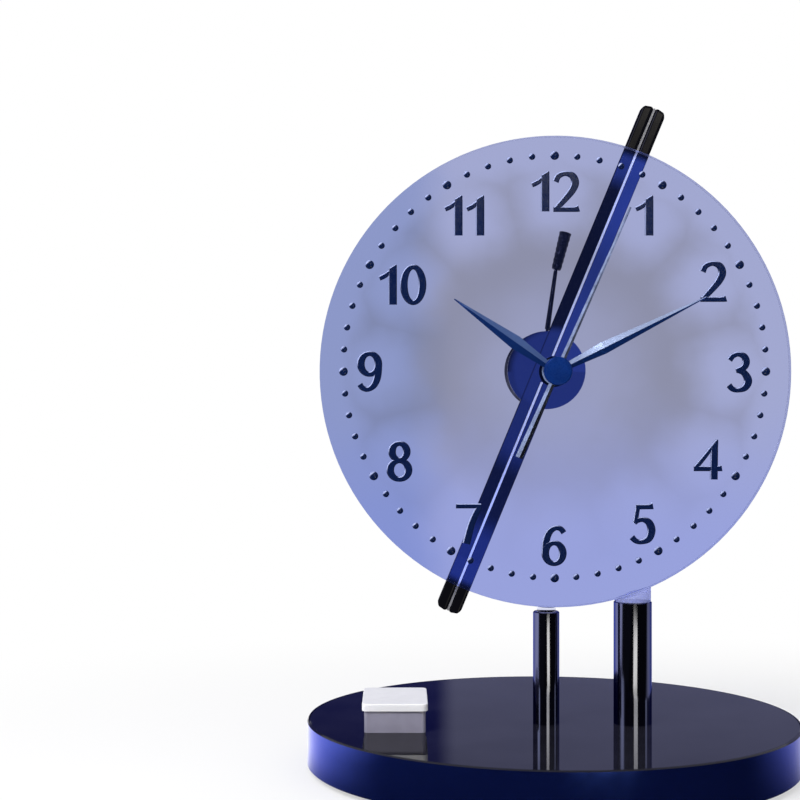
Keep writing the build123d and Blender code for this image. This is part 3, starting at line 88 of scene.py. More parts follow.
# The dial, read from its node: its front plane, its middle and its radius
DIAL_LOW, DIAL_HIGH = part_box("dial_glass")
DIAL_FRONT = DIAL_LOW.y
DIAL_X = (DIAL_LOW.x + DIAL_HIGH.x) / 2
DIAL_Z = (DIAL_LOW.z + DIAL_HIGH.z) / 2
DIAL_R = (DIAL_HIGH.x - DIAL_LOW.x) / 2
PIPS_LEFT = 0.4 * MM
BOND_LINE = 0.03 * MM
STROKE_STEP = 0.02 * MM
MERGE_WITHIN = 0.001 * MM

# Noise levels between which a finish goes from one shade or roughness to the other
NOISE_RANGE = (0.3, 0.7)

# The bar and the grip of the stop lever lean like their CAD nodes, and the bar passes left of the axis;
# half its width and the depth of its ends say which corners are moved to round them
BAR_LEAN = math.radians(22.43)
BAR_X = -3.3 * MM
BAR_HALF = 5.45 * MM
TIP_DEPTH = 1.2 * MM
GRIP_LEAN = math.radians(14.3)
STEM_LEAN = math.radians(8.1)

# Lit panels that only mirrors show, as seen from a place by the posts: their turn from the front to the
# right, half width and soft edge
POSTS_AT = (15 * MM, -14 * MM, 0.0)
PANEL = [math.radians(angle) for angle in (11, 9, 4)]
SIDE_PANEL = [math.radians(angle) for angle in (-85, 22, 12)]
LEFT_STRIP = [math.radians(angle) for angle in (-82, 16, 6)]
RIGHT_STRIP = [math.radians(angle) for angle in (100, 20, 8)]

# Soft edges of what mirrors show: distances on the floor in metres, whose front edge slants back past a
# bend at the left, and heights of directions in the room
FLOOR_PANEL_NEAR = (0.20, 0.23)
FLOOR_PANEL_FAR = (0.52, 0.47)
FLOOR_FRONT = (-0.054, 0.07)
FLOOR_BEND = 0.16
FLOOR_SLANT = 0.42
FLOOR_LEFT = (-0.09, -0.15)
FLOOR_WHITE = (0.12, 0.45)
ROOM_PANEL_FOOT = (0.156, 0.168)
ROOM_PANEL_TOP = (0.235, 0.21)
ROOM_FRONT = (0.18, 0.42)
SLATE_FOOT = (0.07, 0.11)
SLATE_TOP = (0.36, 0.30)
SLATE_SPLIT = (0.020, 0.034)
ROOM_SPLIT = (-0.25, 0.05)

# How bright it is there: the floor in front, at the left and near the clock, and the room from low to high
FLOOR_DIM = 0.015
FLOOR_BRIGHT = 1.9
FLOOR_SHADE = 0.55
ROOM_LEVELS = (0.03, 0.6)
WHITE = (1.0, 1.0, 1.0)

# The soft lamp: its place, what it is aimed at, and the sides of its rectangle
LAMP_AT = (-0.55, -0.75, 0.85)
LAMP_TO = (0.0, 0.0, 0.12)
LAMP_SIZE = (0.5, 0.5)

# Where the surfaces face that get painted highlights and painted shade by the way they face
UPWARD = (0, 0, 1)
FORWARD = (0, -1, 0)
HIGHLIGHT_FROM = (-0.63, -0.20, 0.75)

# Digits as strokes in units of the numeral's height: the advance, the rings as middle and half sizes,
# and the lines as points of right, up and half width. A 9 is a 6 turned half round
RING_SIDE = 0.085
RING_CAP = 0.052
SIX_RING = (0.325, 0.312, 0.22, 0.26)
SIX_TAIL = [
    *((0.57, 0.825, 0.06), (0.50, 0.915, 0.056), (0.37, 0.948, 0.052)),
    *((0.22, 0.85, 0.07), (0.13, 0.64, 0.082), (0.105, 0.34, 0.085)),
]
NINE_RING = (SIX_RING[0], 1.0 - SIX_RING[1], *SIX_RING[2:])
NINE_TAIL = [(2 * SIX_RING[0] - right, 1.0 - up, half) for right, up, half in SIX_TAIL]
DIGITS = {
    "0": (0.70, [(0.33, 0.5, 0.235, 0.448)], []),
    "1": (
        0.545,
        [],
        [
            [(0.36, 0.0, 0.095), (0.36, 0.90, 0.095)],
            [(0.36, 0.86, 0.092), (0.405, 0.93, 0.055), (0.445, 1.0, 0.012)],
            [(0.41, 0.93, 0.035), (0.27, 0.80, 0.045), (0.15, 0.715, 0.05), (0.03, 0.66, 0.048)],
        ],
    ),
    "2": (
        0.70,
        [],
        [
            [
                *((0.075, 0.745, 0.068), (0.15, 0.885, 0.06), (0.33, 0.95, 0.05), (0.505, 0.885, 0.076)),
                *((0.565, 0.72, 0.088), (0.50, 0.54, 0.08), (0.36, 0.36, 0.07), (0.10, 0.075, 0.055)),
            ],
            [(0.02, 0.055, 0.055), (0.54, 0.055, 0.055), (0.66, 0.08, 0.08)],
        ],
    ),
    "3": (
        0.66,
        [],
        [
            [
                *((0.06, 0.80, 0.062), (0.14, 0.90, 0.056), (0.28, 0.95, 0.05), (0.43, 0.89, 0.072)),
                *((0.475, 0.75, 0.083), (0.41, 0.61, 0.068), (0.22, 0.54, 0.042)),
            ],
            [
                *((0.24, 0.54, 0.042), (0.42, 0.485, 0.07), (0.525, 0.29, 0.09), (0.45, 0.115, 0.075)),
                *((0.27, 0.05, 0.05), (0.13, 0.08, 0.055), (0.045, 0.175, 0.062)),
            ],
        ],
    ),
    "4": (
        0.72,
        [],
        [
            [(0.50, 0.0, 0.085), (0.515, 0.80, 0.08)],
            [(0.515, 0.78, 0.08), (0.555, 0.90, 0.048), (0.59, 1.0, 0.012)],
            [(0.57, 0.965, 0.03), (0.32, 0.63, 0.045), (0.05, 0.30, 0.05)],
            [(0.0, 0.275, 0.056), (0.56, 0.275, 0.056), (0.70, 0.29, 0.075)],
        ],
    ),
    "5": (
        0.66,
        [],
        [
            [(0.14, 0.93, 0.056), (0.44, 0.935, 0.056), (0.565, 0.955, 0.078)],
            [(0.19, 0.95, 0.05), (0.12, 0.52, 0.05)],
            [
                *((0.10, 0.53, 0.055), (0.18, 0.59, 0.055), (0.32, 0.612, 0.056), (0.47, 0.53, 0.08)),
                *((0.53, 0.34, 0.09), (0.46, 0.13, 0.078), (0.27, 0.05, 0.05), (0.13, 0.08, 0.055)),
                (0.04, 0.17, 0.065),
            ],
        ],
    ),
    "6": (0.66, [SIX_RING], [SIX_TAIL]),
    "7": (
        0.66,
        [],
        [
            [(0.02, 0.945, 0.05), (0.65, 0.945, 0.05)],
            [(0.60, 0.93, 0.06), (0.42, 0.52, 0.075), (0.28, 0.0, 0.085)],
        ],
    ),
    "8": (0.66, [(0.32, 0.745, 0.185, 0.205), (0.32, 0.285, 0.23, 0.233)], []),
    "9": (0.66, [NINE_RING], [NINE_TAIL]),
}

# Numerals that stand off their places on the ring, by millimetres to the right and up
NUMERAL_SHIFTS = {
    2: (0.9, 0.0),
    3: (2.0, -0.3),
    4: (-1.4, 0.8),
    5: (-0.9, 1.4),
    6: (-0.6, 2.4),
    7: (1.1, 1.5),
    9: (-2.5, 0.0),
    10: (1.4, -1.4),
}


def chosen_colour(title, value, words, most=1.0):
    """Colour property with a default of its own."""
    return FloatVectorProperty(
        name=title, description=words, subtype="COLOR", size=3, min=0.0, max=most, default=value
    )


def record_colour(slot, title):
    """Colour property whose default is the colour of a material slot in the record."""
    return chosen_colour(title, COLOUR_OF[slot], f"Base colour of the {title.lower()}")


def length(title, value, words):
    """Length property in metres, given in millimetres."""
    return FloatProperty(
        name=title, description=words, unit="LENGTH", min=0.0, default=value * MM, precision=5
    )


def amount(title, value, words, least=0.0, most=1000.0):
    """Plain number property."""
    return FloatProperty(name=title, description=words, default=value, min=least, max=most)


def count(title, value, words):
    """Whole number property."""
    return IntProperty(name=title, description=words, default=value, min=0)


class ClockDialSettings(bpy.types.PropertyGroup):
    """Sizes and colours of the dial, its numerals and its dots."""

    numeral_height: length("Numeral height", 16.9, "Height of the hour numerals")
    numeral_ring: length("Numeral ring", 76.2, "Distance of the numerals' middles from the axis")
    numeral_weight: length("Numeral weight", 0.2, "Extra half width of the numerals' strokes")
    numeral_relief: length("Numeral relief", 1.0, "How far the numerals stand out of the glass")
    numeral_bevel: length("Numeral bevel", 0.4, "Width of the sloping edge of the numerals")
    pip_ring: length("Dot ring", 89.5, "Radius of the ring of dots")
    pip_lift: length("Dot ring lift", 2.0, "How far the ring's middle lies above the dial's middle")
    pip_radius: length("Minute dot radius", 1.4, "Radius of a minute dot")
    hour_pip_radius: length("Hour dot radius", 1.9, "Radius of an hour dot")
    pip_relief: length("Dot relief", 1.0, "Height of the dots")
    # Reach of the painted glow round a numeral
    halo_reach: length("Halo reach", 29.0, "How far the bluer tint spreads from a numeral")
    rim_tint: chosen_colour("Rim tint", (0.36, 0.39, 0.62), "Tint of the glass at its rim and numerals")
    centre_tint: chosen_colour("Centre tint", (0.265, 0.275, 0.385), "Tint of the glass in its middle")
    low_tint: chosen_colour("Low tint", (0.31, 0.355, 0.71), "Tint of the glass below its middle")
    # Painted shade at the left of the dial
    left_shade: chosen_colour("Left shade", (0.73, 0.80, 0.91), "Share of the tint that is left at the left")
    rim_roughness: amount("Rim roughness", 0.4, "Roughness of the ground rim of the glass", most=1.0)
    glow: chosen_colour("Edge light", (0.001, 0.002, 0.009), "Light that the lit glass gives off")
    ink: chosen_colour("Numeral colour", (0.003, 0.009, 0.045), "Colour of the numerals and dots")
    # Painted highlight on the slopes of the numerals and dots that face up and left
    ink_slope: chosen_colour("Numeral slopes", (0.34, 0.39, 0.66), "Colour of slopes that face up and left")


class ClockFinishSettings(bpy.types.PropertyGroup):
    """Colours of the outside finishes."""

    lacquer: chosen_colour("Base lacquer", (0.014, 0.032, 0.24), "Base colour of the lacquer")
    lacquer_edge: chosen_colour("Lacquer sheen", (0.50, 0.52, 1.0), "Colour of lacquer seen at a low angle")
    plate: record_colour("black_glass", "Top plate")
    chrome: chosen_colour("Black chrome", (0.006, 0.006, 0.009), "Base colour of the black chrome")
    chrome_edge: chosen_colour("Chrome shade", (0.05, 0.055, 0.12), "Colour of chrome seen at a low angle")
    post_chrome: chosen_colour("Post chrome", (0.08, 0.085, 0.16), "Colour of the chrome on the posts")
    post_edge: chosen_colour("Post sheen", (0.30, 0.32, 0.60), "Colour of the posts seen at a low angle")
    # Painted glow: blue light the bar gives off behind the dial, and the dim light it gives off elsewhere
    bar_light: chosen_colour("Bar light", (0.055, 0.10, 0.42), "Light the bar takes up from the dial's edge")
    bar_shade: chosen_colour("Bar shade", (0.004, 0.004, 0.006), "Light on the bar away from that")
    # Painted shade of the inlay beyond the dial, and the strength of its painted glow behind it
    inlay_grey: chosen_colour("Inlay grey", (0.2, 0.2, 0.215), "Colour of the inlay beyond the dial")
    inlay_light: amount("Inlay light", 1.2, "Strength of the inlay's light behind the dial")
    blued: record_colour("blued_steel", "Blued steel")
    blued_edge: chosen_colour("Blued sheen", (0.45, 0.62, 1.0), "Colour of the hands seen at a low angle")
    # Painted highlights on the upper slopes of the hour and minute hands, and painted shade on their other
    # sides
    hour_steel: chosen_colour("Hour steel", (0.06, 0.105, 0.27), "Upper slope of the hour hand")
    minute_steel: chosen_colour("Minute steel", (0.31, 0.375, 0.58), "Upper slope of the minute hand")
    hand_shade: chosen_colour("Hand shade", (0.007, 0.034, 0.18), "Colour of the other sides of those hands")
    second_steel: chosen_colour("Seconds steel", (0.27, 0.32, 0.50), "Colour of the seconds hand")
    cap_blue: chosen_colour("Cap blue", (0.0015, 0.019, 0.13), "Colour of the cap over the hands")
    washer_steel: chosen_colour("Washer steel", (0.25, 0.33, 0.55), "Colour of the washer round the hands")
    key_white: record_colour("white_plastic", "Key cap")
    key_grey: record_colour("grey_plastic", "Key housing")


class ClockDetailSettings(bpy.types.PropertyGroup):
    """Sizes of the small details that the solids leave plain."""

    slot_width: length("Screw slot width", 0.7, "Width of the slot in a base screw")
    slot_depth: length("Screw slot depth", 0.6, "Depth of the slot in a base screw")
    grip_ribs: count("Grip ribs", 7, "Ribs along the lever's grip")
    grip_rib_depth: length("Grip rib depth", 0.16, "Depth of the ribs on the lever's grip")
    sleeve_start: length("Sleeve start", 7.4, "Start of the sleeve on the lever's stem, from the pivot")
    sleeve_end: length("Sleeve end", 33.6, "End of the sleeve on the lever's stem, from the pivot")
    sleeve_foot_radius: length("Sleeve foot radius", 1.15, "Radius of the sleeve at its foot")
    sleeve_top_radius: length("Sleeve top radius", 0.85, "Radius of the sleeve at its top")
    door_ribs: count("Door ribs", 5, "Finger ribs on the battery door")
    door_rib_step: length("Door rib spacing", 2.2, "Distance between the finger ribs")
    door_rib_radius: length("Door rib radius", 0.5, "Radius of a finger rib")
    door_rib_width: length("Door rib width", 14.0, "Length of a finger rib across the door")
    door_margin: length("Door margin", 4.0, "Distance of the finger ribs from the end of the door")
    tip_reach: length("Bar tip reach", 1.0, "How far the ends of the bar stand past its plain solid")
    tip_drop: length("Bar tip drop", 2.0, "How far the outer corners of the bar's ends are rounded down")
    strip_reach: length("Strip reach", 1.7, "How far the strip stands past its plain solid")


class ClockStageSettings(bpy.types.PropertyGroup):
    """Camera and light of the studio."""

    camera_place: FloatVectorProperty(
        name="Camera place",
        description="Where the camera stands, in metres",
        subtype="TRANSLATION",
        unit="LENGTH",
        size=3,
        default=(-0.0659, -0.7232, 0.1584),
    )
    camera_lens: amount("Lens", 75.0, "Focal length in millimetres", least=1.0)
    ambient: amount("Ambient", 0.6, "Strength of the light from all around")
    key_power: amount("Key light", 11.0, "Power of the large soft light")
    panel_power: amount("Panel light", 8.0, "Strength of the panel that mirrors show")
    panel_tint: chosen_colour("Panel tint", (1.0, 0.93, 0.5), "Colour of the panel that mirrors show")
    high_tint: chosen_colour("High panel tint", (2.4, 2.25, 1.3), "Panel's colour above the horizon", 4.0)
    strip_tint: chosen_colour("Strip tint", (0.75, 0.78, 0.72), "Colour of the strips beside the panel")
    side_tint: chosen_colour("Side tint", (0.85, 0.9, 1.0), "Colour of the left panel that mirrors show")
    plate_left: chosen_colour("Left mirror", (0.012, 0.016, 0.18), "What the plate mirrors on the left")
    plate_right: chosen_colour("Right mirror", (0.27, 0.28, 0.50), "What the plate mirrors on the right")


class Wiring:
    """Nodes and links of a tree, with short ways to add what a pattern needs."""

    def __init__(self, tree):
        self.nodes = tree.nodes
        self.links = tree.links

    def feed(self, socket, value):
        """Link a socket to another one, or give it a value."""
        if isinstance(value, bpy.types.NodeSocket):
            self.links.new(value, socket)
        else:
            socket.default_value = value

    def math(self, operation, *values):
        """Math node."""
        node = self.nodes.new("ShaderNodeMath")
        node.operation = operation
        for socket, value in zip(node.inputs, values):
            self.feed(socket, value)
        return node.outputs[0]

    def vector_math(self, operation, first, second=(0, 0, 0), result="Value"):
        """Vector math node."""
        node = self.nodes.new("ShaderNodeVectorMath")
        node.operation = operation
        self.feed(node.inputs[0], first)
        self.feed(node.inputs[1], second)
        return node.outputs[result]

    def split(self, vector):
        """The three parts of a vector."""
        node = self.nodes.new("ShaderNodeSeparateXYZ")
        self.links.new(vector, node.inputs[0])
        return node.outputs

    def root(self, first, second):
        """Length of a flat vector."""
        squares = [self.math("POWER", part, 2.0) for part in (first, second)]
        return self.math("SQRT", self.math("ADD", *squares))

    def fold(self, operation, *values):
        """One operation over several values in turn."""
        total = values[0]
        for value in values[1:]:
            total = self.math(operation, total, value)
        return total

    def product(self, *values):
        """Product of several values."""
        return self.fold("MULTIPLY", *values)

    def largest(self, *values):
        """Largest of several values."""
        return self.fold("MAXIMUM", *values)

    def span(self, value, low, high, to_low=0.0, to_high=1.0):
        """Smooth step of a value from one range to another."""
        node = self.nodes.new("ShaderNodeMapRange")
        node.interpolation_type = "SMOOTHSTEP"
        for socket, number in zip(node.inputs, (value, low, high, to_low, to_high)):
            self.feed(socket, number)
        return node.outputs[0]

    def within(self, value, middle, half, soft):
        """1 about a middle value, falling to 0 over a soft edge past half a width."""
        return self.span(self.math("ABSOLUTE", self.math("SUBTRACT", value, middle)), half + soft, half)

    def mix(self, factor, first, second, blend="MIX"):
        """Mix of two colours."""
        node = self.nodes.new("ShaderNodeMix")
        node.data_type = "RGBA"
        node.blend_type = blend
        self.feed(node.inputs[0], factor)
        for socket, colour in ((node.inputs[6], first), (node.inputs[7], second)):
            self.feed(socket, colour if isinstance(colour, bpy.types.NodeSocket) else (*colour, 1.0))
        return node.outputs[2]


class Finish(Wiring):
    """A material with one principled shader, and the nodes that give it its pattern."""

    def __init__(self, name, colour, **values):
        self.material = bpy.data.materials.new(name)
        self.material.use_nodes = True
        super().__init__(self.material.node_tree)
        self.shader = self.nodes["Principled BSDF"]
        self.shader.inputs["Base Color"].default_value = (*colour, 1.0)
        for socket, value in values.items():
            self.shader.inputs[socket.replace("_", " ")].default_value = value

    def coordinates(self, centre=(0, 0, 0), scale=(1, 1, 1)):
        """Object coordinates about a centre, scaled."""
        source = self.nodes.new("ShaderNodeTexCoord").outputs["Object"]
        mapping = self.nodes.new("ShaderNodeMapping")
        self.links.new(source, mapping.inputs["Vector"])
        mapping.inputs["Scale"].default_value = scale
        mapping.inputs["Location"].default_value = [-c * s for c, s in zip(centre, scale)]
        return mapping.outputs["Vector"]

    def on_dial(self):
        """Distances to the right of the dial's middle, above it, and from it."""
        right, _, up = self.split(self.coordinates((DIAL_X, 0, DIAL_Z)))
        return right, up, self.root(right, up)

    def facing(self, direction):
        """How far the surface faces a direction, from -1 to 1."""
        normal = self.nodes.new("ShaderNodeNewGeometry").outputs["Normal"]
        return self.vector_math("DOT_PRODUCT", normal, direction)

    def noise(self, size, detail=3.0, stretch=(1, 1, 1)):
        """Noise whose features are about a given size, stretched along the axes."""
        node = self.nodes.new("ShaderNodeTexNoise")
        self.links.new(self.coordinates(scale=[1 / (size * part) for part in stretch]), node.inputs["Vector"])
        node.inputs["Scale"].default_value = 1.0
        node.inputs["Detail"].default_value = detail
        return node.outputs[0]

    def lead(self, socket, pattern):
        """Give a socket of the shader a pattern."""
        self.links.new(pattern, self.shader.inputs[socket])
        return self

    def paint(self, colour):
        """Give the shader a patterned colour."""
        return self.lead("Base Color", colour)

    def worn(self, size, low, high, stretch=(1, 1, 1)):
        """Vary the roughness, as handling and polishing do."""
        return self.lead("Roughness", self.span(self.noise(size, 4.0, stretch), *NOISE_RANGE, low, high))

    def shades(self, colour, spread, level):
        """A colour from its darker to its paler shade, by a level between 0 and 1."""
        dark = [c * (1 - spread) for c in colour]
        light = [min(1.0, c * (1 + spread)) for c in colour]
        return self.mix(level, dark, light)

    def toned(self, colour, size, spread, stretch=(1, 1, 1)):
        """Vary the colour a little about its mean."""
        level = self.span(self.noise(size, 4.0, stretch), *NOISE_RANGE)
        return self.paint(self.shades(colour, spread, level))

    def bumped(self, height, depth):
        """Surface relief of a given depth from a height between 0 and 1."""
        node = self.nodes.new("ShaderNodeBump")
        node.inputs["Distance"].default_value = depth
        self.feed(node.inputs["Height"], height)
        return self.lead("Normal", node.outputs["Normal"])


def lacquer_finish(settings):
    """Deep blue lacquer with metal flakes and a slight orange peel, with painted shade on the lip round the
    plate: black and without metal there, so it shows no sheen.
    """
    finish = Finish(
        "base_lacquer",
        settings.lacquer,
        IOR=1.1,
        Specular_Tint=(*settings.lacquer_edge, 1.0),
        Coat_Weight=0.25,
        Coat_Roughness=0.04,
    )
    flake = finish.shades(settings.lacquer, 0.4, finish.noise(0.35 * MM, 4.0))
    # Painted shade: faces that face up turn black and lose their metal, so the lip mirrors no sheen
    shaded_lip = finish.span(finish.facing(UPWARD), 0.15, 0.55)
    finish.paint(finish.mix(shaded_lip, flake, settings.plate))
    finish.lead("Metallic", finish.math("MULTIPLY_ADD", shaded_lip, -0.9, 0.9))
    finish.worn(14 * MM, 0.11, 0.18)
    return finish.bumped(finish.noise(1.6 * MM, 1.0), 0.004 * MM)


def plate_finish(settings):
    """Polished black glass with faint wiping marks."""
    finish = Finish("plate_glass", settings.plate, IOR=1.12)
    finish.toned(settings.plate, 30 * MM, 0.3)
    return finish.worn(22 * MM, 0.012, 0.035, (3, 1, 1))


def chrome_finish(settings, share=1.0):
    """Polished black chrome at a share of its colour, with fine marks from polishing."""
    colour = [share * part for part in settings.chrome]
    finish = Finish("black_chrome_plating", colour, Metallic=1.0, Specular_Tint=(*settings.chrome_edge, 1.0))
    finish.toned(colour, 6 * MM, 0.2)
    return finish.worn(4 * MM, 0.10, 0.15)


def post_finish(settings):
    """Brighter black chrome of the posts, drawn along their length."""
    colour = settings.post_chrome
    finish = Finish("drawn_black_chrome", colour, Metallic=1.0, Specular_Tint=(*settings.post_edge, 1.0))
    finish.toned(colour, 1.2 * MM, 0.06, (1, 1, 30))
    return finish.worn(1.5 * MM, 0.07, 0.12, (1, 1, 20))


def bar_finish(settings):
    """Black chrome of the bar, with a painted blue glow that it gives off itself where the dial is in front
    of it.
    """
    finish = chrome_finish(settings, 0.4)
    right, up, reach = finish.on_dial()
    slant = finish.product(up, math.tan(BAR_LEAN))
    aside = finish.math("SUBTRACT", finish.math("SUBTRACT", right, BAR_X), slant)
    behind = finish.span(reach, DIAL_R, DIAL_R - 4 * MM)
    # Painted glow: where the bar gives off blue light, on its right rail above the middle, in bands below it,
    # near the rim and near the hub
    right_rail_glow = finish.span(aside, -0.3 * MM, 0.3 * MM, 0.06, 1.0)
    lower = finish.math("LESS_THAN", up, 0.0)
    from_dark = finish.math("ABSOLUTE", finish.math("SUBTRACT", reach, 58 * MM))
    rim_painted_glow = finish.span(reach, 80 * MM, 90 * MM, 0.0, 0.7)
    hub_painted_glow = finish.span(reach, 21 * MM, 16 * MM, 0.0, 0.75)
    upper_painted_glow = finish.product(right_rail_glow, finish.math("SUBTRACT", 1.0, lower))
    lower_painted_glow = finish.product(finish.span(from_dark, 8 * MM, 22 * MM, 0.12, 0.6), lower)
    lit = finish.largest(finish.math("ADD", upper_painted_glow, lower_painted_glow), rim_painted_glow, hub_painted_glow)
    share = finish.product(lit, behind, finish.span(finish.facing(FORWARD), 0.2, 0.8))
    finish.shader.inputs["Emission Strength"].default_value = 1.0
    return finish.lead("Emission Color", finish.mix(share, settings.bar_shade, settings.bar_light))


def inlay_finish(settings):
    """Bright strip between the rails, with a painted glow where the dial is in front of it and painted shade,
    a dull grey, beyond the dial.
    """
    finish = plain_finish("bright_steel", 0.06, 2 * MM, (1 * MM, 0.3, 0.4), IOR=1.15)
    _, _, reach = finish.on_dial()
    behind = finish.span(reach, DIAL_R + 1 * MM, DIAL_R - 3 * MM)
    # Painted shade beyond the dial, painted glow behind it
    finish.paint(finish.mix(behind, settings.inlay_grey, COLOUR_OF["bright_steel"]))
    finish.shader.inputs["Emission Color"].default_value = (0.86, 0.92, 1.0, 1.0)
    return finish.lead("Emission Strength", finish.product(behind, settings.inlay_light))


def blued_finish(settings, name, colour):
    """Blued steel with a fine grain along the hands."""
    finish = Finish(name, colour, Metallic=1.0, Specular_Tint=(*settings.blued_edge, 1.0))
    finish.toned(colour, 5 * MM, 0.3)
    return finish.worn(0.5 * MM, 0.16, 0.26)


def hand_finish(settings, name, colour):
    """Blued steel of a hand, with a painted highlight that makes the slopes facing up pale, and painted shade
    in navy elsewhere.
    """
    finish = Finish(name, colour, Metallic=0.5, Specular_Tint=(*settings.blued_edge, 1.0))
    highlight_tones = finish.shades(colour, 0.15, finish.noise(5 * MM, 4.0))
    # Painted light: slopes that face up take the pale colour, the rest the painted shade
    painted_upper_light = finish.span(finish.facing(UPWARD), 0.02, 0.15)
    finish.paint(finish.mix(painted_upper_light, settings.hand_shade, highlight_tones))
    return finish.worn(0.5 * MM, 0.16, 0.26)


def ink_finish(settings):
    """Navy enamel of the numerals and dots, with a painted highlight on the slopes that face up and left."""
    finish = Finish("numeral_enamel", settings.ink, IOR=1.2)
    navy = finish.shades(settings.ink, 0.25, finish.noise(4 * MM, 4.0))
    facing_light = finish.span(finish.facing(HIGHLIGHT_FROM), 0.42, 0.72)
    painted_highlight = finish.product(facing_light, finish.span(finish.facing(FORWARD), 0.15, 0.45))
    finish.paint(finish.mix(painted_highlight, navy, settings.ink_slope))
    return finish.worn(2 * MM, 0.13, 0.19)


def dial_finish(settings):
    """Lilac glass, bluer at the rim, with a painted glow round the numerals and the hub and painted shade at
    the left, lit a little from its edge.
    """
    finish = Finish(
        "dial_lilac_glass",
        settings.rim_tint,
        IOR=1.1,
        Transmission_Weight=1.0,
        Emission_Color=(*settings.glow, 1.0),
        Emission_Strength=1.0,
    )
    right, up, reach = finish.on_dial()
    beside = finish.math("PINGPONG", finish.math("ARCTAN2", right, up), math.pi / HOURS)
    aside = finish.product(reach, finish.math("SINE", beside))
    along = finish.product(reach, finish.math("COSINE", beside))
    away = finish.root(aside, finish.math("SUBTRACT", along, settings.numeral_ring))
    ragged = finish.product(finish.math("SUBTRACT", finish.noise(16 * MM, 2.0), 0.5), 14 * MM)
    # Painted glow: the tint turns bluer round the numerals and round the hub
    numeral_glow = finish.span(finish.math("ADD", away, ragged), settings.halo_reach, 6 * MM)
    rim = finish.span(finish.math("ADD", reach, ragged), 74 * MM, 92 * MM)
    hub_glow = finish.span(finish.math("ADD", reach, ragged), 50 * MM, 18 * MM, 0.0, 0.5)
    bluer = finish.largest(numeral_glow, rim, hub_glow)
    low = finish.span(finish.math("ADD", up, ragged), 0.0, -80 * MM, 0.0, 0.9)
    tint = finish.mix(low, finish.mix(bluer, settings.centre_tint, settings.rim_tint), settings.low_tint)
    # Painted shade: the tint is darkened towards the left
    shaded = finish.span(finish.math("ADD", right, ragged), -40 * MM, -66 * MM)
    ground = finish.span(reach, DIAL_R - 0.6 * MM, DIAL_R - 0.2 * MM, 0.0, settings.rim_roughness)
    return finish.lead("Roughness", ground).paint(finish.mix(shaded, tint, settings.left_shade, "MULTIPLY"))


def plain_finish(slot, spread=0.12, size=4 * MM, wear=None, relief=None, **values):
    """Finish of a record's slot: a toned colour, with wear and relief where they are given."""
    colour = COLOUR_OF[slot]
    finish = Finish(slot, colour, **values)
    finish.toned(colour, size, spread)
    if wear:
        finish.worn(*wear)
    if relief:
        grain, depth = relief
        finish.bumped(finish.noise(grain, 2.0), depth)
    return finish


def rubber_finish():
    """Rubber of the feet, with moulded rings about the middle of each foot."""
    low, high = solids_of("rubber_feet")[-1]
    finish = plain_finish("rubber", Roughness=0.75)
    quarter = finish.vector_math("ABSOLUTE", finish.coordinates(), result="Vector")
    offset = finish.vector_math("DISTANCE", quarter, [abs(a + b) / 2 for a, b in zip(low, high)])
    rings = finish.math("SINE", finish.product(offset, 2 * math.pi / (1.6 * MM)))
    return finish.bumped(rings, 0.1 * MM)


def board_finish():
    """Green circuit board with paler copper runs under the mask."""
    finish = plain_finish("circuit_board", Roughness=0.4)
    runs = finish.nodes.new("ShaderNodeTexBrick")
    finish.links.new(finish.coordinates(scale=(1 / MM, 1 / MM, 1 / MM)), runs.inputs["Vector"])
    runs.inputs["Scale"].default_value = 0.35
    runs.inputs["Mortar Size"].default_value = 0.06
    colour = COLOUR_OF["circuit_board"]
    return finish.paint(finish.mix(runs.outputs["Fac"], colour, [c * 2.2 for c in colour]))


def cell_finish():
    """Jacket of the cells: a dark sleeve with a copper-coloured band at one end."""
    low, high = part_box("battery_cells")
    finish = plain_finish("cell_jacket", Metallic=0.4, Roughness=0.35)
    along = finish.split(finish.coordinates())[0]
    edge = low.x + (high.x - low.x) * 0.72
    band = finish.span(along, edge, edge + 0.4 * MM)
    return finish.paint(finish.mix(band, COLOUR_OF["cell_jacket"], COLOUR_OF["copper_wire"]))


def merged_copy(node):
    """Copy of a CAD node's shape, with its loose faces merged."""
    shape = bmesh.new()
    shape.from_mesh(NODES[node].data)
    bmesh.ops.remove_doubles(shape, verts=shape.verts, dist=MERGE_WITHIN)
    return shape


def finished_mesh(name, shape):
    """Mesh of a finished shape."""
    mesh = bpy.data.meshes.new(name)
    shape.to_mesh(mesh)
    shape.free()
    return mesh


def soften(mesh, angle):
    """Smooth shading, but for edges sharper than an angle in degrees."""
    mesh.shade_smooth()
    mesh.set_sharp_from_angle(angle=math.radians(angle))
    return mesh


def leaning(angle):
    """Upward direction in the dial's plane that leans to the right."""
    return Vector((math.sin(angle), 0.0, math.cos(angle)))


def solids_of(node):
    """Lowest and highest corner of each solid of a CAD node."""
    shape = merged_copy(node)
    left = set(shape.verts)
    boxes = []
    while left:
        stack = [left.pop()]
        points = []
        while stack:
            corner = stack.pop()
            points.append(corner.co.copy())
            near = {edge.other_vert(corner) for edge in corner.link_edges} & left
            left -= near
            stack.extend(near)
        lowest = Vector([min(p[i] for p in points) for i in range(3)])
        highest = Vector([max(p[i] for p in points) for i in range(3)])
        boxes.append((lowest, highest))
    shape.free()
    return sorted(boxes, key=lambda box: tuple(box[0]))


def axis_span(node, direction):
    """Ends of the axis of a turned node, and the largest radius about it."""
    points = [corner.co for corner in NODES[node].data.vertices]
    middle = sum(points, Vector()) / len(points)
    along = [(p - middle).dot(direction) for p in points]
    radius = max(((p - middle) - direction * a).length for p, a in zip(points, along))
    return middle + direction * min(along), middle + direction * max(along), radius


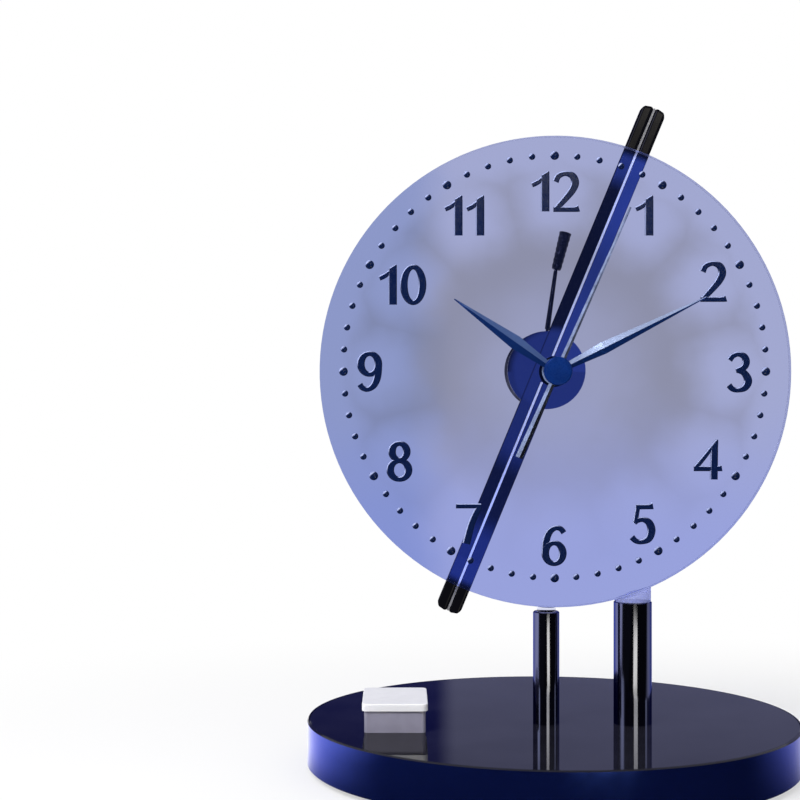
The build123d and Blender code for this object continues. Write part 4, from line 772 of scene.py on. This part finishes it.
def new_piece(name, mesh, body, finish=None, stands_for=()):
    """Object for a finished mesh, which rides on a body and takes its finish from a slot."""
    piece = bpy.data.objects.new(name, mesh)
    bpy.context.scene.collection.objects.link(piece)
    if finish:
        mesh.materials.clear()
        mesh.materials.append(finish.material)
    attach(piece, body)
    if stands_for:
        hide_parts(*stands_for)
    return piece


def tipped_mesh(node, reach, drop):
    """Copy of a node along the bar, whose ends reach further and drop towards their outer corners."""
    solid = NODES[node].data
    normals = [corner.vector.copy() for corner in solid.corner_normals]
    along = leaning(BAR_LEAN)
    across = Vector((along.z, 0.0, -along.x))
    lengthwise = [corner.co.dot(along) for corner in solid.vertices]
    foot, top = min(lengthwise) + TIP_DEPTH, max(lengthwise) - TIP_DEPTH
    sideways = [corner.co.dot(across) for corner in NODES["bar_inlays"].data.vertices]
    middle = (min(sideways) + max(sideways)) / 2
    shape = merged_copy(node)
    for corner in shape.verts:
        place = corner.co.dot(along)
        end = (place > top) - (place < foot)
        aside = abs(corner.co.dot(across) - middle) / BAR_HALF
        corner.co += along * end * (reach - drop * max(0.0, 2 * aside - 1) ** 2)
    mesh = finished_mesh(node + "_tipped", shape)
    if len(mesh.loops) == len(normals):
        mesh.normals_split_custom_set(normals)
    return mesh


def dress(finish, *nodes):
    """Give CAD nodes a finish."""
    for node in nodes:
        NODES[node].data.materials.clear()
        NODES[node].data.materials.append(finish.material)


class PieceTree(Wiring):
    """Geometry node tree with named inputs, which ends in a plain mesh with a material."""

    def __init__(self, name):
        self.name = name
        self.tree = bpy.data.node_groups.new(name, "GeometryNodeTree")
        self.tree.is_modifier = True
        super().__init__(self.tree)
        self.names = {}
        self.add_input("Geometry", "NodeSocketGeometry")
        self.tree.interface.new_socket("Geometry", in_out="OUTPUT", socket_type="NodeSocketGeometry")
        self.inputs = self.nodes.new("NodeGroupInput")

    def add_input(self, name, kind="NodeSocketFloat"):
        """Named input of the tree."""
        self.names[name] = self.tree.interface.new_socket(name, in_out="INPUT", socket_type=kind).identifier

    def given(self, name, kind="NodeSocketFloat"):
        """Socket that brings a named input into the tree."""
        if name not in self.names:
            self.add_input(name, kind)
        return self.inputs.outputs[name]

    def node(self, kind, settings=None, **values):
        """Node with its settings, and its inputs linked or set."""
        node = self.nodes.new(kind)
        for name, value in (settings or {}).items():
            setattr(node, name, value)
        for name, value in values.items():
            self.feed(node.inputs[name.replace("_", " ")], value)
        return node

    def made(self, kind, settings=None, **values):
        """First output of a node."""
        return self.node(kind, settings, **values).outputs[0]

    def vector(self, x, y, z):
        """Vector from three values."""
        return self.made("ShaderNodeCombineXYZ", X=x, Y=y, Z=z)

    def turn(self, euler):
        """Rotation from three angles."""
        return self.made("FunctionNodeEulerToRotation", Euler=euler)

    def close(self, geometry):
        """End of the tree: a real mesh with the material."""
        finish = self.given("Finish", "NodeSocketMaterial")
        real = self.made("GeometryNodeRealizeInstances", Geometry=geometry)
        coated = self.made("GeometryNodeSetMaterial", Geometry=real, Material=finish)
        self.links.new(coated, self.nodes.new("NodeGroupOutput").inputs[0])
        return self

    def mesh(self, finish, points=(), **sizes):
        """Plain mesh that the tree makes from points and sizes."""
        seed = bpy.data.meshes.new(self.name)
        seed.from_pydata([tuple(point) for point in points], [], [])
        holder = bpy.data.objects.new(self.name, seed)
        bpy.context.scene.collection.objects.link(holder)
        modifier = holder.modifiers.new(self.name, "NODES")
        modifier.node_group = self.tree
        modifier[self.names["Finish"]] = finish.material
        for name, value in sizes.items():
            modifier[self.names[name.replace("_", " ")]] = value
        graph = bpy.context.evaluated_depsgraph_get()
        made = bpy.data.meshes.new_from_object(holder.evaluated_get(graph))
        bpy.data.objects.remove(holder)
        if not made.polygons:
            raise RuntimeError(f"{self.name} made no faces")
        return soften(made, 32)


def screw_tree():
    """Slotted screws at points, each turned its own way, with the head facing one direction."""
    tree = PieceTree("slotted_screws")
    face_r = tree.given("Face Radius")
    foot_r = tree.given("Foot Radius")
    head_h = tree.given("Head Height")
    shank_r = tree.given("Shank Radius")
    shank_l = tree.given("Shank Length")
    slot_w = tree.given("Slot Width")
    slot_d = tree.given("Slot Depth")
    facing = tree.turn(tree.given("Turn", "NodeSocketVector"))
    cone = {"Radius_Top": face_r, "Radius_Bottom": foot_r, "Depth": head_h}
    head = tree.made("GeometryNodeMeshCone", Vertices=40, **cone)
    lowered = tree.vector(0.0, 0.0, tree.product(head_h, -1.0))
    head = tree.made("GeometryNodeTransform", Geometry=head, Translation=lowered)
    slot_size = tree.vector(tree.product(foot_r, 3.0), slot_w, tree.product(slot_d, 2.0))
    slot = tree.made("GeometryNodeMeshCube", Size=slot_size)
    cut = tree.made("GeometryNodeMeshBoolean", {"operation": "DIFFERENCE"}, Mesh_1=head, Mesh_2=slot)
    shank = tree.made("GeometryNodeMeshCylinder", Vertices=24, Radius=shank_r, Depth=shank_l)
    below = tree.product(tree.math("ADD", head_h, tree.product(shank_l, 0.5)), -1.0)
    shank = tree.made("GeometryNodeTransform", Geometry=shank, Translation=tree.vector(0.0, 0.0, below))
    screw = tree.node("GeometryNodeJoinGeometry")
    for part in (cut, shank):
        tree.links.new(part, screw.inputs[0])
    places = {"Points": tree.given("Geometry"), "Rotation": facing}
    placed = tree.made("GeometryNodeInstanceOnPoints", Instance=screw.outputs[0], **places)
    chance = tree.node("FunctionNodeRandomValue", {"data_type": "FLOAT"}, Seed=7)
    chance.inputs[3].default_value = math.pi
    spin = tree.turn(tree.vector(0.0, 0.0, chance.outputs[1]))
    return tree.close(tree.made("GeometryNodeRotateInstances", Instances=placed, Rotation=spin))


def fit_screws(name, node, finish, slot, head_h, shank_r, face_share=None, backward=False):
    """Slotted screws in place of a node's plain ones, which face down or backward. Their heads are
    countersunk, or narrow to a share of their radius at the face."""
    boxes = solids_of(node)
    low, high = boxes[0]
    axis = 1 if backward else 2
    radius = (high.x - low.x) / 2
    face_r, foot_r = (face_share * radius, radius) if face_share else (radius, shank_r)
    faces = []
    for box in boxes:
        face = (box[0] + box[1]) / 2
        face[axis] = box[backward][axis]
        faces.append(face)
    mesh = screw_tree().mesh(
        finish,
        faces,
        Face_Radius=face_r,
        Foot_Radius=foot_r,
        Head_Height=head_h,
        Shank_Radius=shank_r,
        Shank_Length=high[axis] - low[axis] - head_h,
        Slot_Width=slot[0],
        Slot_Depth=slot[1],
        Turn=(-math.pi / 2 if backward else math.pi, 0.0, 0.0),
    )
    new_piece(name, mesh, "stand", stands_for=[node])


def pip_tree():
    """Ring of domed dots in front of the dial, with a larger one at each hour."""
    tree = PieceTree("domed_dots")
    ring = tree.made("GeometryNodeMeshCircle", Vertices=HOURS * PIPS_PER_HOUR, Radius=tree.given("Ring"))
    spot = tree.split(tree.made("GeometryNodeInputPosition"))
    slant = tree.math("DIVIDE", tree.given("Lift"), tree.math("POWER", tree.given("Ring"), 2.0))
    growth = tree.math("MULTIPLY_ADD", spot[1], slant, 1.0)
    lifted = tree.vector(tree.product(spot[0], growth), tree.product(spot[1], growth), 0.0)
    ring = tree.made("GeometryNodeSetPosition", Geometry=ring, Position=lifted)
    upright = tree.made(
        "GeometryNodeTransform",
        Geometry=ring,
        Translation=tree.given("Middle", "NodeSocketVector"),
        Rotation=(math.pi / 2, 0.0, 0.0),
    )
    ball = tree.made("GeometryNodeMeshUVSphere", Segments=20, Rings=10, Radius=1.0)
    place = tree.split(tree.made("GeometryNodeInputPosition"))
    flat = tree.vector(place[0], tree.math("MINIMUM", place[1], 0.0), place[2])
    dome = tree.made("GeometryNodeSetPosition", Geometry=ball, Position=flat)
    step = tree.math("FLOORED_MODULO", tree.made("GeometryNodeInputIndex"), float(PIPS_PER_HOUR))
    on_hour = tree.math("LESS_THAN", step, 0.5)
    extra = tree.math("SUBTRACT", tree.given("Hour Radius"), tree.given("Radius"))
    radius = tree.math("MULTIPLY_ADD", on_hour, extra, tree.given("Radius"))
    size = tree.vector(radius, tree.given("Relief"), radius)
    return tree.close(tree.made("GeometryNodeInstanceOnPoints", Points=upright, Instance=dome, Scale=size))


def grip_tree():
    """Moulded grip along a line, wider at its top, with shallow ribs and rounded ends."""
    tree = PieceTree("ribbed_grip")
    foot = tree.given("Foot", "NodeSocketVector")
    top = tree.given("Top", "NodeSocketVector")
    line = tree.made("GeometryNodeCurvePrimitiveLine", Start=foot, End=top)
    line = tree.made("GeometryNodeResampleCurve", Curve=line, Count=97)
    share = tree.node("GeometryNodeSplineParameter").outputs["Factor"]
    growth = tree.math("SUBTRACT", tree.given("Top Radius"), tree.given("Foot Radius"))
    taper = tree.math("MULTIPLY_ADD", share, growth, tree.given("Foot Radius"))
    wave = tree.math("SINE", tree.product(share, tree.given("Ribs"), 2 * math.pi))
    dip = tree.product(tree.math("MULTIPLY_ADD", wave, 0.5, 0.5), tree.given("Rib Depth"))
    ribbed = tree.math("SUBTRACT", taper, dip)
    to_end = tree.math("SUBTRACT", 1.0, tree.math("ABSOLUTE", tree.math("MULTIPLY_ADD", share, 2.0, -1.0)))
    shoulder = tree.math("SUBTRACT", 1.0, tree.math("MINIMUM", tree.product(to_end, 14.0), 1.0))
    rounding = tree.math("SQRT", tree.math("SUBTRACT", 1.0, tree.math("POWER", shoulder, 2.0)))
    rounded = tree.product(ribbed, tree.math("MULTIPLY_ADD", rounding, 0.35, 0.65))
    profile = tree.made("GeometryNodeCurvePrimitiveCircle", Resolution=32, Radius=1.0)
    curves = {"Curve": line, "Profile_Curve": profile}
    return tree.close(tree.made("GeometryNodeCurveToMesh", **curves, Scale=rounded, Fill_Caps=True))


def rib_tree():
    """Row of round finger ribs let half into a surface."""
    tree = PieceTree("finger_ribs")
    row = tree.made(
        "GeometryNodeMeshLine",
        Count=tree.given("Count", "NodeSocketInt"),
        Start_Location=tree.given("Start", "NodeSocketVector"),
        Offset=tree.vector(tree.given("Step"), 0.0, 0.0),
    )
    sizes = {"Radius": tree.given("Radius"), "Depth": tree.given("Width")}
    rib = tree.made("GeometryNodeMeshCylinder", Vertices=20, **sizes)
    lying = tree.made("GeometryNodeTransform", Geometry=rib, Rotation=(math.pi / 2, 0.0, 0.0))
    return tree.close(tree.made("GeometryNodeInstanceOnPoints", Points=row, Instance=lying))


def smooth_path(points, steps=9):
    """Points on a smooth line through the given ones, with their half widths smoothed too."""
    if len(points) == 2:
        return points
    ends = [points[0], *points, points[-1]]
    path = []
    for before, start, end, after in zip(ends, ends[1:], ends[2:], ends[3:]):
        first = start + (end - before) / 6
        second = end - (after - start) / 6
        path += interpolate_bezier(start, first, second, end, steps)[:-1]
    return [*path, points[-1]]


def ring_path(right, up, half_w, half_h, steps=36):
    """Closed stroke round an ellipse, wider at its sides than at its top and foot."""
    path = []
    for i in range(steps):
        across = math.sin(2 * math.pi * i / steps)
        along = math.cos(2 * math.pi * i / steps)
        width = math.hypot(RING_SIDE * across, RING_CAP * along)
        path.append(Vector((right + half_w * across, up + half_h * along, width)))
    return path


def add_stroke(shape, path, closed, back, front, bevel):
    """Raised stroke with sloping edges along a path of right, up and half width."""
    last = len(path) - 1
    sections = []
    for i, point in enumerate(path):
        ahead = path[(i + 1) % len(path)] if closed else path[min(i + 1, last)]
        behind = path[i - 1] if closed else path[max(i - 1, 0)]
        side = Vector((behind.y - ahead.y, ahead.x - behind.x)).normalized()
        half = point.z
        edge = min(bevel, 0.6 * half)
        outline = ((half, back), (half, front + bevel), (half - edge, front))
        mirrored = [(-reach, depth) for reach, depth in reversed(outline)]
        section = []
        for reach, depth in (*outline, *mirrored):
            section.append(shape.verts.new((point.x + side.x * reach, depth, point.y + side.y * reach)))
        sections.append(section)
    pairs = list(zip(sections, sections[1:]))
    if closed:
        pairs.append((sections[-1], sections[0]))
    for near, far in pairs:
        for j in range(len(near)):
            k = (j + 1) % len(near)
            shape.faces.new((near[j], near[k], far[k], far[j]))
    if not closed:
        shape.faces.new(sections[0])
        shape.faces.new(sections[-1])


def numeral_mesh(settings):
    """Raised numerals from 1 to 12 on their ring, all upright."""
    shape = bmesh.new()
    size = settings.numeral_height
    back = DIAL_FRONT - BOND_LINE
    front = DIAL_FRONT - settings.numeral_relief
    for hour in range(1, HOURS + 1):
        label = str(hour)
        width = sum(DIGITS[digit][0] for digit in label)
        turn = 2 * math.pi * hour / HOURS
        right, up = NUMERAL_SHIFTS.get(hour, (0.0, 0.0))
        left = DIAL_X + settings.numeral_ring * math.sin(turn) - width * size / 2 + right * MM
        foot = DIAL_Z + settings.numeral_ring * math.cos(turn) - size / 2 + up * MM
        for digit in label:
            advance, rings, lines = DIGITS[digit]
            strokes = [(ring_path(*ring), True) for ring in rings]
            strokes += [(smooth_path([Vector(point) for point in line]), False) for line in lines]
            for layer, (path, closed) in enumerate(strokes):
                weight = settings.numeral_weight
                placed = [Vector((left + p.x * size, foot + p.y * size, p.z * size + weight)) for p in path]
                add_stroke(shape, placed, closed, back, front + layer * STROKE_STEP, settings.numeral_bevel)
            left += advance * size
    bmesh.ops.recalc_face_normals(shape, faces=shape.faces)
    return soften(finished_mesh("hour_numerals", shape), 28)


class CLOCK_OT_base(bpy.types.Operator):
    """Finish the base: shell, plate, cover, feet, door, screws and what is inside."""

    bl_idname = "clock.base"
    bl_label = "Finish the base"

    def execute(self, context):
        settings = context.scene.clock_finish
        detail = context.scene.clock_detail
        dress(lacquer_finish(settings), "base_shell")
        dress(plate_finish(settings), "top_plate")
        dress(rubber_finish(), "rubber_feet")
        plastic = plain_finish("black_plastic", wear=(5 * MM, 0.45, 0.6), relief=(0.35 * MM, 0.02 * MM))
        dress(plastic, "bottom_cover", "battery_tray", "battery_door", "key_switch", "setting_knob")
        rough = {"wear": (4 * MM, 0.5, 0.7), "relief": (0.8 * MM, 0.05 * MM)}
        dress(plain_finish("ballast_steel", 0.3, 3 * MM, **rough, Metallic=0.8), "ballast_ring")
        dress(cell_finish(), "battery_cells")
        dress(board_finish(), "light_board", "movement_board")
        leads = plain_finish("lead_jacket", wear=(3 * MM, 0.4, 0.5))
        dress(leads, "thin_post_lead", "thick_post_lead", "battery_leads", "key_lead")
        steel = plain_finish("bright_steel", 0.1, 1.2 * MM, (0.6 * MM, 0.18, 0.3, (6, 1, 1)), Metallic=1.0)
        dress(steel, "battery_contacts", "post_washers", "post_nuts")
        dress(steel, "board_screws", "key_screws", "plate_screws")
        slot = (detail.slot_width, detail.slot_depth)
        fit_screws("slotted_cover_screws", "cover_screws", steel, slot, head_h=1.4 * MM, shank_r=1.2 * MM)
        door = {"head_h": 1.0 * MM, "shank_r": 1.2 * MM, "face_share": 0.88}
        fit_screws("slotted_door_screw", "door_screw", steel, slot, **door)
        low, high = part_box("battery_door")
        start = high.x - detail.door_margin - detail.door_ribs * detail.door_rib_step
        mesh = rib_tree().mesh(
            plastic,
            Count=detail.door_ribs,
            Start=(start, (low.y + high.y) / 2, low.z),
            Step=detail.door_rib_step,
            Radius=detail.door_rib_radius,
            Width=detail.door_rib_width,
        )
        new_piece("door_finger_ribs", mesh, "stand")
        return {"FINISHED"}


class CLOCK_OT_posts(bpy.types.Operator):
    """Finish the posts, their clear saddles and the lamps in them."""

    bl_idname = "clock.posts"
    bl_label = "Finish the posts"

    def execute(self, context):
        dress(post_finish(context.scene.clock_finish), "thin_post", "thick_post")
        see_through = {"Transmission_Weight": 1.0, "IOR": 1.25}
        clear = plain_finish("clear_acrylic", 0.04, 6 * MM, (5 * MM, 0.02, 0.06), **see_through)
        dress(clear, "thin_saddle")
        rim_tint = context.scene.clock_dial.rim_tint
        # Painted glow: the tinted saddle gives off a faint blue light of its own
        tinted = Finish(
            "tinted_acrylic",
            rim_tint,
            Transmission_Weight=0.5,
            IOR=1.04,
            Emission_Color=(0.25, 0.31, 1.0, 1.0),
            Emission_Strength=0.14,
        )
        tinted.toned(rim_tint, 8 * MM, 0.05).worn(5 * MM, 0.35, 0.45)
        dress(tinted, "thick_saddle")
        lit = {"Emission_Color": (0.5, 0.55, 1.0, 1.0), "Emission_Strength": 1.0}
        dress(plain_finish("lamp_lens", 0.05, Roughness=0.2, **lit), "post_lamps")
        dress(plain_finish("grey_plastic", Roughness=0.5), "board_terminals")
        return {"FINISHED"}


class CLOCK_OT_dial(bpy.types.Operator):
    """Finish the dial: its glass, its numerals and its dots."""

    bl_idname = "clock.dial"
    bl_label = "Finish the dial"

    def execute(self, context):
        settings = context.scene.clock_dial
        dress(dial_finish(settings), "dial_glass")
        ink = ink_finish(settings)
        new_piece("hour_numerals", numeral_mesh(settings), "stand", ink)
        mesh = pip_tree().mesh(
            ink,
            Ring=settings.pip_ring,
            Lift=settings.pip_lift,
            Middle=(DIAL_X - PIPS_LEFT, DIAL_FRONT - BOND_LINE, DIAL_Z),
            Radius=settings.pip_radius,
            Hour_Radius=settings.hour_pip_radius,
            Relief=settings.pip_relief,
        )
        new_piece("domed_dots", mesh, "stand", stands_for=["minute_pips"])
        return {"FINISHED"}


class CLOCK_OT_bar(bpy.types.Operator):
    """Finish the bar behind the dial and the clamp that holds it."""

    bl_idname = "clock.bar"
    bl_label = "Finish the bar"

    def execute(self, context):
        settings = context.scene.clock_finish
        detail = context.scene.clock_detail
        for name, node, reach, drop, finish in (
            ("round_ended_bar", "carrier_bar", detail.tip_reach, detail.tip_drop, bar_finish(settings)),
            ("groove_strip", "bar_inlays", detail.strip_reach, 0.0, inlay_finish(settings)),
        ):
            new_piece(name, tipped_mesh(node, reach, drop), "stand", finish, stands_for=[node])
        washer = Finish("washer_steel", settings.washer_steel, Metallic=0.3)
        dress(washer.toned(settings.washer_steel, 2 * MM, 0.06).worn(1 * MM, 0.3, 0.4), "dial_washer")
        dress(blued_finish(settings, "blued_nut", settings.blued), "dial_nut")
        dress(plain_finish("rubber", Roughness=0.7, relief=(0.4 * MM, 0.03 * MM)), "dial_gasket")
        return {"FINISHED"}


class CLOCK_OT_capsule(bpy.types.Operator):
    """Finish the capsule, its screws and the stop lever with its grip."""

    bl_idname = "clock.capsule"
    bl_label = "Finish the capsule"

    def execute(self, context):
        settings = context.scene.clock_finish
        detail = context.scene.clock_detail
        dress(chrome_finish(settings), "stop_lever")
        for node, index in (("capsule_case", 1.03), ("capsule_cover", 1.25)):
            enamel = Finish(f"{node}_enamel", settings.chrome, IOR=index)
            enamel.toned(settings.chrome, 5 * MM, 0.2).worn(4 * MM, 0.3, 0.4)
            enamel.bumped(enamel.noise(0.8 * MM, 1.0), 0.003 * MM)
            dress(enamel, node)
        steel = plain_finish("bright_steel", 0.1, 1 * MM, (0.5 * MM, 0.18, 0.3), Metallic=1.0)
        slot = (detail.slot_width / 2, detail.slot_depth / 2)
        sizes = {"head_h": 0.8 * MM, "shank_r": 0.6 * MM, "face_share": 0.85}
        fit_screws("slotted_capsule_screws", "capsule_screws", steel, slot, **sizes, backward=True)
        grip = plain_finish("black_plastic", 0.2, 2 * MM, (2 * MM, 0.35, 0.5), (0.25 * MM, 0.015 * MM))
        foot, top, radius = axis_span("lever_grip", leaning(GRIP_LEAN))
        mesh = grip_tree().mesh(
            grip,
            Foot=foot,
            Top=top,
            Foot_Radius=0.8 * radius,
            Top_Radius=radius,
            Ribs=float(detail.grip_ribs),
            Rib_Depth=detail.grip_rib_depth,
        )
        new_piece("ribbed_lever_grip", mesh, "stop_lever", stands_for=["lever_grip"])
        swing = next(joint for joint in RECORD["behaviour"]["joints"] if joint["name"] == "lever_swing")
        pivot = Vector((swing["pos_m"][0], foot.y, swing["pos_m"][2]))
        rise = leaning(STEM_LEAN)
        mesh = grip_tree().mesh(
            grip,
            Foot=pivot + rise * detail.sleeve_start,
            Top=pivot + rise * detail.sleeve_end,
            Foot_Radius=detail.sleeve_foot_radius,
            Top_Radius=detail.sleeve_top_radius,
            Ribs=0.0,
            Rib_Depth=0.0,
        )
        new_piece("lever_stem_sleeve", mesh, "stop_lever")
        return {"FINISHED"}


class CLOCK_OT_movement(bpy.types.Operator):
    """Finish the movement inside the capsule."""

    bl_idname = "clock.movement"
    bl_label = "Finish the movement"

    def execute(self, context):
        brass = plain_finish("brass", 0.1, 2 * MM, (0.4 * MM, 0.2, 0.35, (1, 1, 8)), Metallic=1.0)
        dress(brass, "movement_plate", "third_wheel", "minute_wheel", "motion_wheel", "hour_wheel")
        steel = plain_finish("bright_steel", 0.08, 1 * MM, (0.5 * MM, 0.15, 0.3), Metallic=1.0)
        dress(steel, "motor_stator", "seconds_arbor", "coin_cell", "cell_spring", "lever_pin")
        wound = {"wear": (1 * MM, 0.3, 0.45), "relief": (0.12 * MM, 0.05 * MM)}
        dress(plain_finish("copper_wire", 0.2, 1 * MM, **wound, Metallic=1.0), "motor_coil")
        dress(plain_finish("magnet", 0.2, 1 * MM, (1 * MM, 0.4, 0.6), Metallic=0.6), "rotor_magnet")
        return {"FINISHED"}


class CLOCK_OT_hands(bpy.types.Operator):
    """Finish the hands and the cap."""

    bl_idname = "clock.hands"
    bl_label = "Finish the hands"

    def execute(self, context):
        settings = context.scene.clock_finish
        dress(hand_finish(settings, "blued_hour_hand", settings.hour_steel), "hour_hand")
        dress(hand_finish(settings, "blued_minute_hand", settings.minute_steel), "minute_hand")
        dress(blued_finish(settings, "blued_seconds", settings.second_steel), "second_hand")
        cap = Finish("blued_cap", settings.cap_blue, Metallic=0.1, IOR=1.15)
        cap.toned(settings.cap_blue, 4 * MM, 0.15).worn(0.6 * MM, 0.24, 0.34)
        dress(cap, "centre_cap")
        return {"FINISHED"}


class CLOCK_OT_key(bpy.types.Operator):
    """Finish the light key."""

    bl_idname = "clock.key"
    bl_label = "Finish the light key"

    def execute(self, context):
        settings = context.scene.clock_finish
        cap = Finish("key_cap_white", settings.key_white, Coat_Weight=0.15, Coat_Roughness=0.2)
        cap.toned(settings.key_white, 9 * MM, 0.03).worn(3 * MM, 0.3, 0.4)
        cap.bumped(cap.noise(0.3 * MM, 2.0), 0.006 * MM)
        dress(cap, "key_cap")
        housing = Finish("key_housing_grey", settings.key_grey)
        housing.toned(settings.key_grey, 6 * MM, 0.06).worn(3 * MM, 0.4, 0.5)
        housing.bumped(housing.noise(0.3 * MM, 2.0), 0.01 * MM)
        dress(housing, "key_housing")
        return {"FINISHED"}


def soft_light(name, power):
    """Rectangular lamp, aimed at the clock."""
    lamp = bpy.data.lights.new(name, "AREA")
    lamp.shape = "RECTANGLE"
    lamp.size, lamp.size_y = LAMP_SIZE
    lamp.energy = power
    holder = bpy.data.objects.new(name, lamp)
    bpy.context.scene.collection.objects.link(holder)
    holder.location = LAMP_AT
    holder.rotation_euler = (Vector(LAMP_TO) - Vector(LAMP_AT)).to_track_quat("-Z", "Y").to_euler()


def panel_light(tint, settings):
    """Colour of a panel that mirrors show, at its full strength."""
    return [part * settings.panel_power for part in tint]


def floor_material(settings):
    """Pale floor that keeps the shadow of the clock and turns white away from it; mirrors show it dim in
    front, with the panel that draws a bright line on the posts."""
    finish = Finish("studio_floor", (0.9, 0.9, 0.92), Roughness=0.9)
    right, ahead, _ = finish.split(finish.coordinates(POSTS_AT, (1, -1, 1)))
    reach = finish.root(right, ahead)
    reached = finish.product(finish.span(reach, *FLOOR_PANEL_NEAR), finish.span(reach, *FLOOR_PANEL_FAR))
    panel = finish.product(finish.within(finish.math("ARCTAN2", right, ahead), *PANEL), reached)
    far_left = finish.math("MINIMUM", finish.math("ADD", right, FLOOR_BEND), 0.0)
    slanted = finish.math("MULTIPLY_ADD", far_left, FLOOR_SLANT, ahead)
    front = finish.span(slanted, *FLOOR_FRONT, 1.0, FLOOR_DIM)
    lit = finish.product(front, finish.span(right, *FLOOR_LEFT, 1.0, FLOOR_BRIGHT))
    mirrored = finish.mix(panel, lit, panel_light(settings.panel_tint, settings), "ADD")
    path = finish.nodes.new("ShaderNodeLightPath")
    through = path.outputs["Is Transmission Ray"]
    glossy = finish.product(path.outputs["Is Glossy Ray"], finish.math("SUBTRACT", 1.0, through))
    white = finish.nodes.new("ShaderNodeEmission")
    finish.links.new(finish.mix(glossy, WHITE, mirrored), white.inputs["Color"])
    far = finish.span(reach, *FLOOR_WHITE, FLOOR_SHADE, 1.0)
    seen = finish.largest(path.outputs["Is Camera Ray"], glossy, through)
    share = finish.product(finish.largest(far, glossy), seen)
    blend = finish.nodes.new("ShaderNodeMixShader")
    finish.links.new(share, blend.inputs[0])
    finish.links.new(finish.shader.outputs[0], blend.inputs[1])
    finish.links.new(white.outputs[0], blend.inputs[2])
    finish.links.new(blend.outputs[0], finish.nodes["Material Output"].inputs["Surface"])
    return finish.material


def surroundings(tree, settings):
    """White room; mirrors show it dim in front and slate over the far edge of the plate, with the panels."""
    wiring = Wiring(tree)
    across, away, up = wiring.split(wiring.nodes.new("ShaderNodeTexCoord").outputs["Generated"])
    turn = wiring.math("ARCTAN2", across, wiring.product(away, -1.0))
    dim = wiring.span(up, *ROOM_FRONT, *ROOM_LEVELS)
    front = wiring.mix(wiring.within(turn, *SIDE_PANEL), dim, settings.side_tint)
    low = wiring.product(wiring.span(up, *ROOM_PANEL_FOOT), wiring.span(up, *ROOM_PANEL_TOP))
    for panel, tint in (
        (PANEL, settings.high_tint),
        (LEFT_STRIP, settings.strip_tint),
        (RIGHT_STRIP, settings.strip_tint),
    ):
        beside = wiring.product(wiring.within(turn, *panel), low)
        front = wiring.mix(beside, front, panel_light(tint, settings), "ADD")
    slate = wiring.mix(wiring.span(across, *SLATE_SPLIT), settings.plate_left, settings.plate_right)
    over_plate = wiring.product(wiring.span(up, *SLATE_FOOT), wiring.span(up, *SLATE_TOP))
    back = wiring.mix(over_plate, WHITE, slate)
    mirrored = wiring.mix(wiring.span(away, *ROOM_SPLIT), front, back)
    path = wiring.nodes.new("ShaderNodeLightPath")
    clear = wiring.largest(path.outputs["Is Camera Ray"], path.outputs["Is Transmission Ray"])
    around = wiring.mix(path.outputs["Is Glossy Ray"], [settings.ambient] * 3, mirrored)
    wiring.links.new(wiring.mix(clear, around, WHITE), wiring.nodes["Background"].inputs["Color"])


class CLOCK_OT_stage(bpy.types.Operator):
    """Build the studio: floor, surroundings, lights and camera."""

    bl_idname = "clock.stage"
    bl_label = "Build the studio"

    def execute(self, context):
        scene = context.scene
        settings = scene.clock_stage
        ground = bmesh.new()
        bmesh.ops.create_circle(ground, cap_ends=True, segments=96, radius=6.0)
        mesh = finished_mesh("studio_floor", ground)
        mesh.materials.append(floor_material(settings))
        floor = bpy.data.objects.new("studio_floor", mesh)
        scene.collection.objects.link(floor)

        world = bpy.data.worlds.new("studio_surroundings")
        world.use_nodes = True
        scene.world = world
        surroundings(world.node_tree, settings)

        soft_light("key_light", settings.key_power)

        camera = bpy.data.objects.new("camera", bpy.data.cameras.new("camera"))
        scene.collection.objects.link(camera)
        camera.location = settings.camera_place
        camera.rotation_euler = (math.pi / 2, 0.0, 0.0)
        camera.data.lens = settings.camera_lens
        camera.data.sensor_width = 36.0
        camera.data.clip_start = 0.01
        scene.camera = camera
        scene.view_settings.view_transform = "Standard"
        return {"FINISHED"}


class CLOCK_PT_panel(bpy.types.Panel):
    """Settings and steps of the mystery clock."""

    bl_idname = "CLOCK_PT_panel"
    bl_label = "Mystery Clock"
    bl_space_type = "VIEW_3D"
    bl_region_type = "UI"
    bl_category = "Clock"

    def draw(self, context):
        for step in STEPS:
            self.layout.operator(step.bl_idname)
        for group in GROUPS:
            box = self.layout.box()
            settings = getattr(context.scene, group)
            for name in settings.bl_rna.properties.keys():
                if name not in ("rna_type", "name"):
                    box.prop(settings, name)


GROUPS = {
    "clock_dial": ClockDialSettings,
    "clock_finish": ClockFinishSettings,
    "clock_detail": ClockDetailSettings,
    "clock_stage": ClockStageSettings,
}
STEPS = (
    CLOCK_OT_base,
    CLOCK_OT_posts,
    CLOCK_OT_dial,
    CLOCK_OT_bar,
    CLOCK_OT_capsule,
    CLOCK_OT_movement,
    CLOCK_OT_hands,
    CLOCK_OT_key,
    CLOCK_OT_stage,
)
CLASSES = (*GROUPS.values(), *STEPS, CLOCK_PT_panel)


def register():
    """Register the classes and their settings."""
    for each in CLASSES:
        bpy.utils.register_class(each)
    for name, kind in GROUPS.items():
        setattr(bpy.types.Scene, name, PointerProperty(type=kind))


def unregister():
    """Take the settings and classes away again."""
    for name in GROUPS:
        delattr(bpy.types.Scene, name)
    for each in reversed(CLASSES):
        bpy.utils.unregister_class(each)


def main():
    """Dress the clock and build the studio."""
    register()
    bpy.ops.clock.base()
    bpy.ops.clock.posts()
    bpy.ops.clock.dial()
    bpy.ops.clock.bar()
    bpy.ops.clock.capsule()
    bpy.ops.clock.movement()
    bpy.ops.clock.hands()
    bpy.ops.clock.key()
    bpy.ops.clock.stage()


if __name__ == "__main__":
    main()
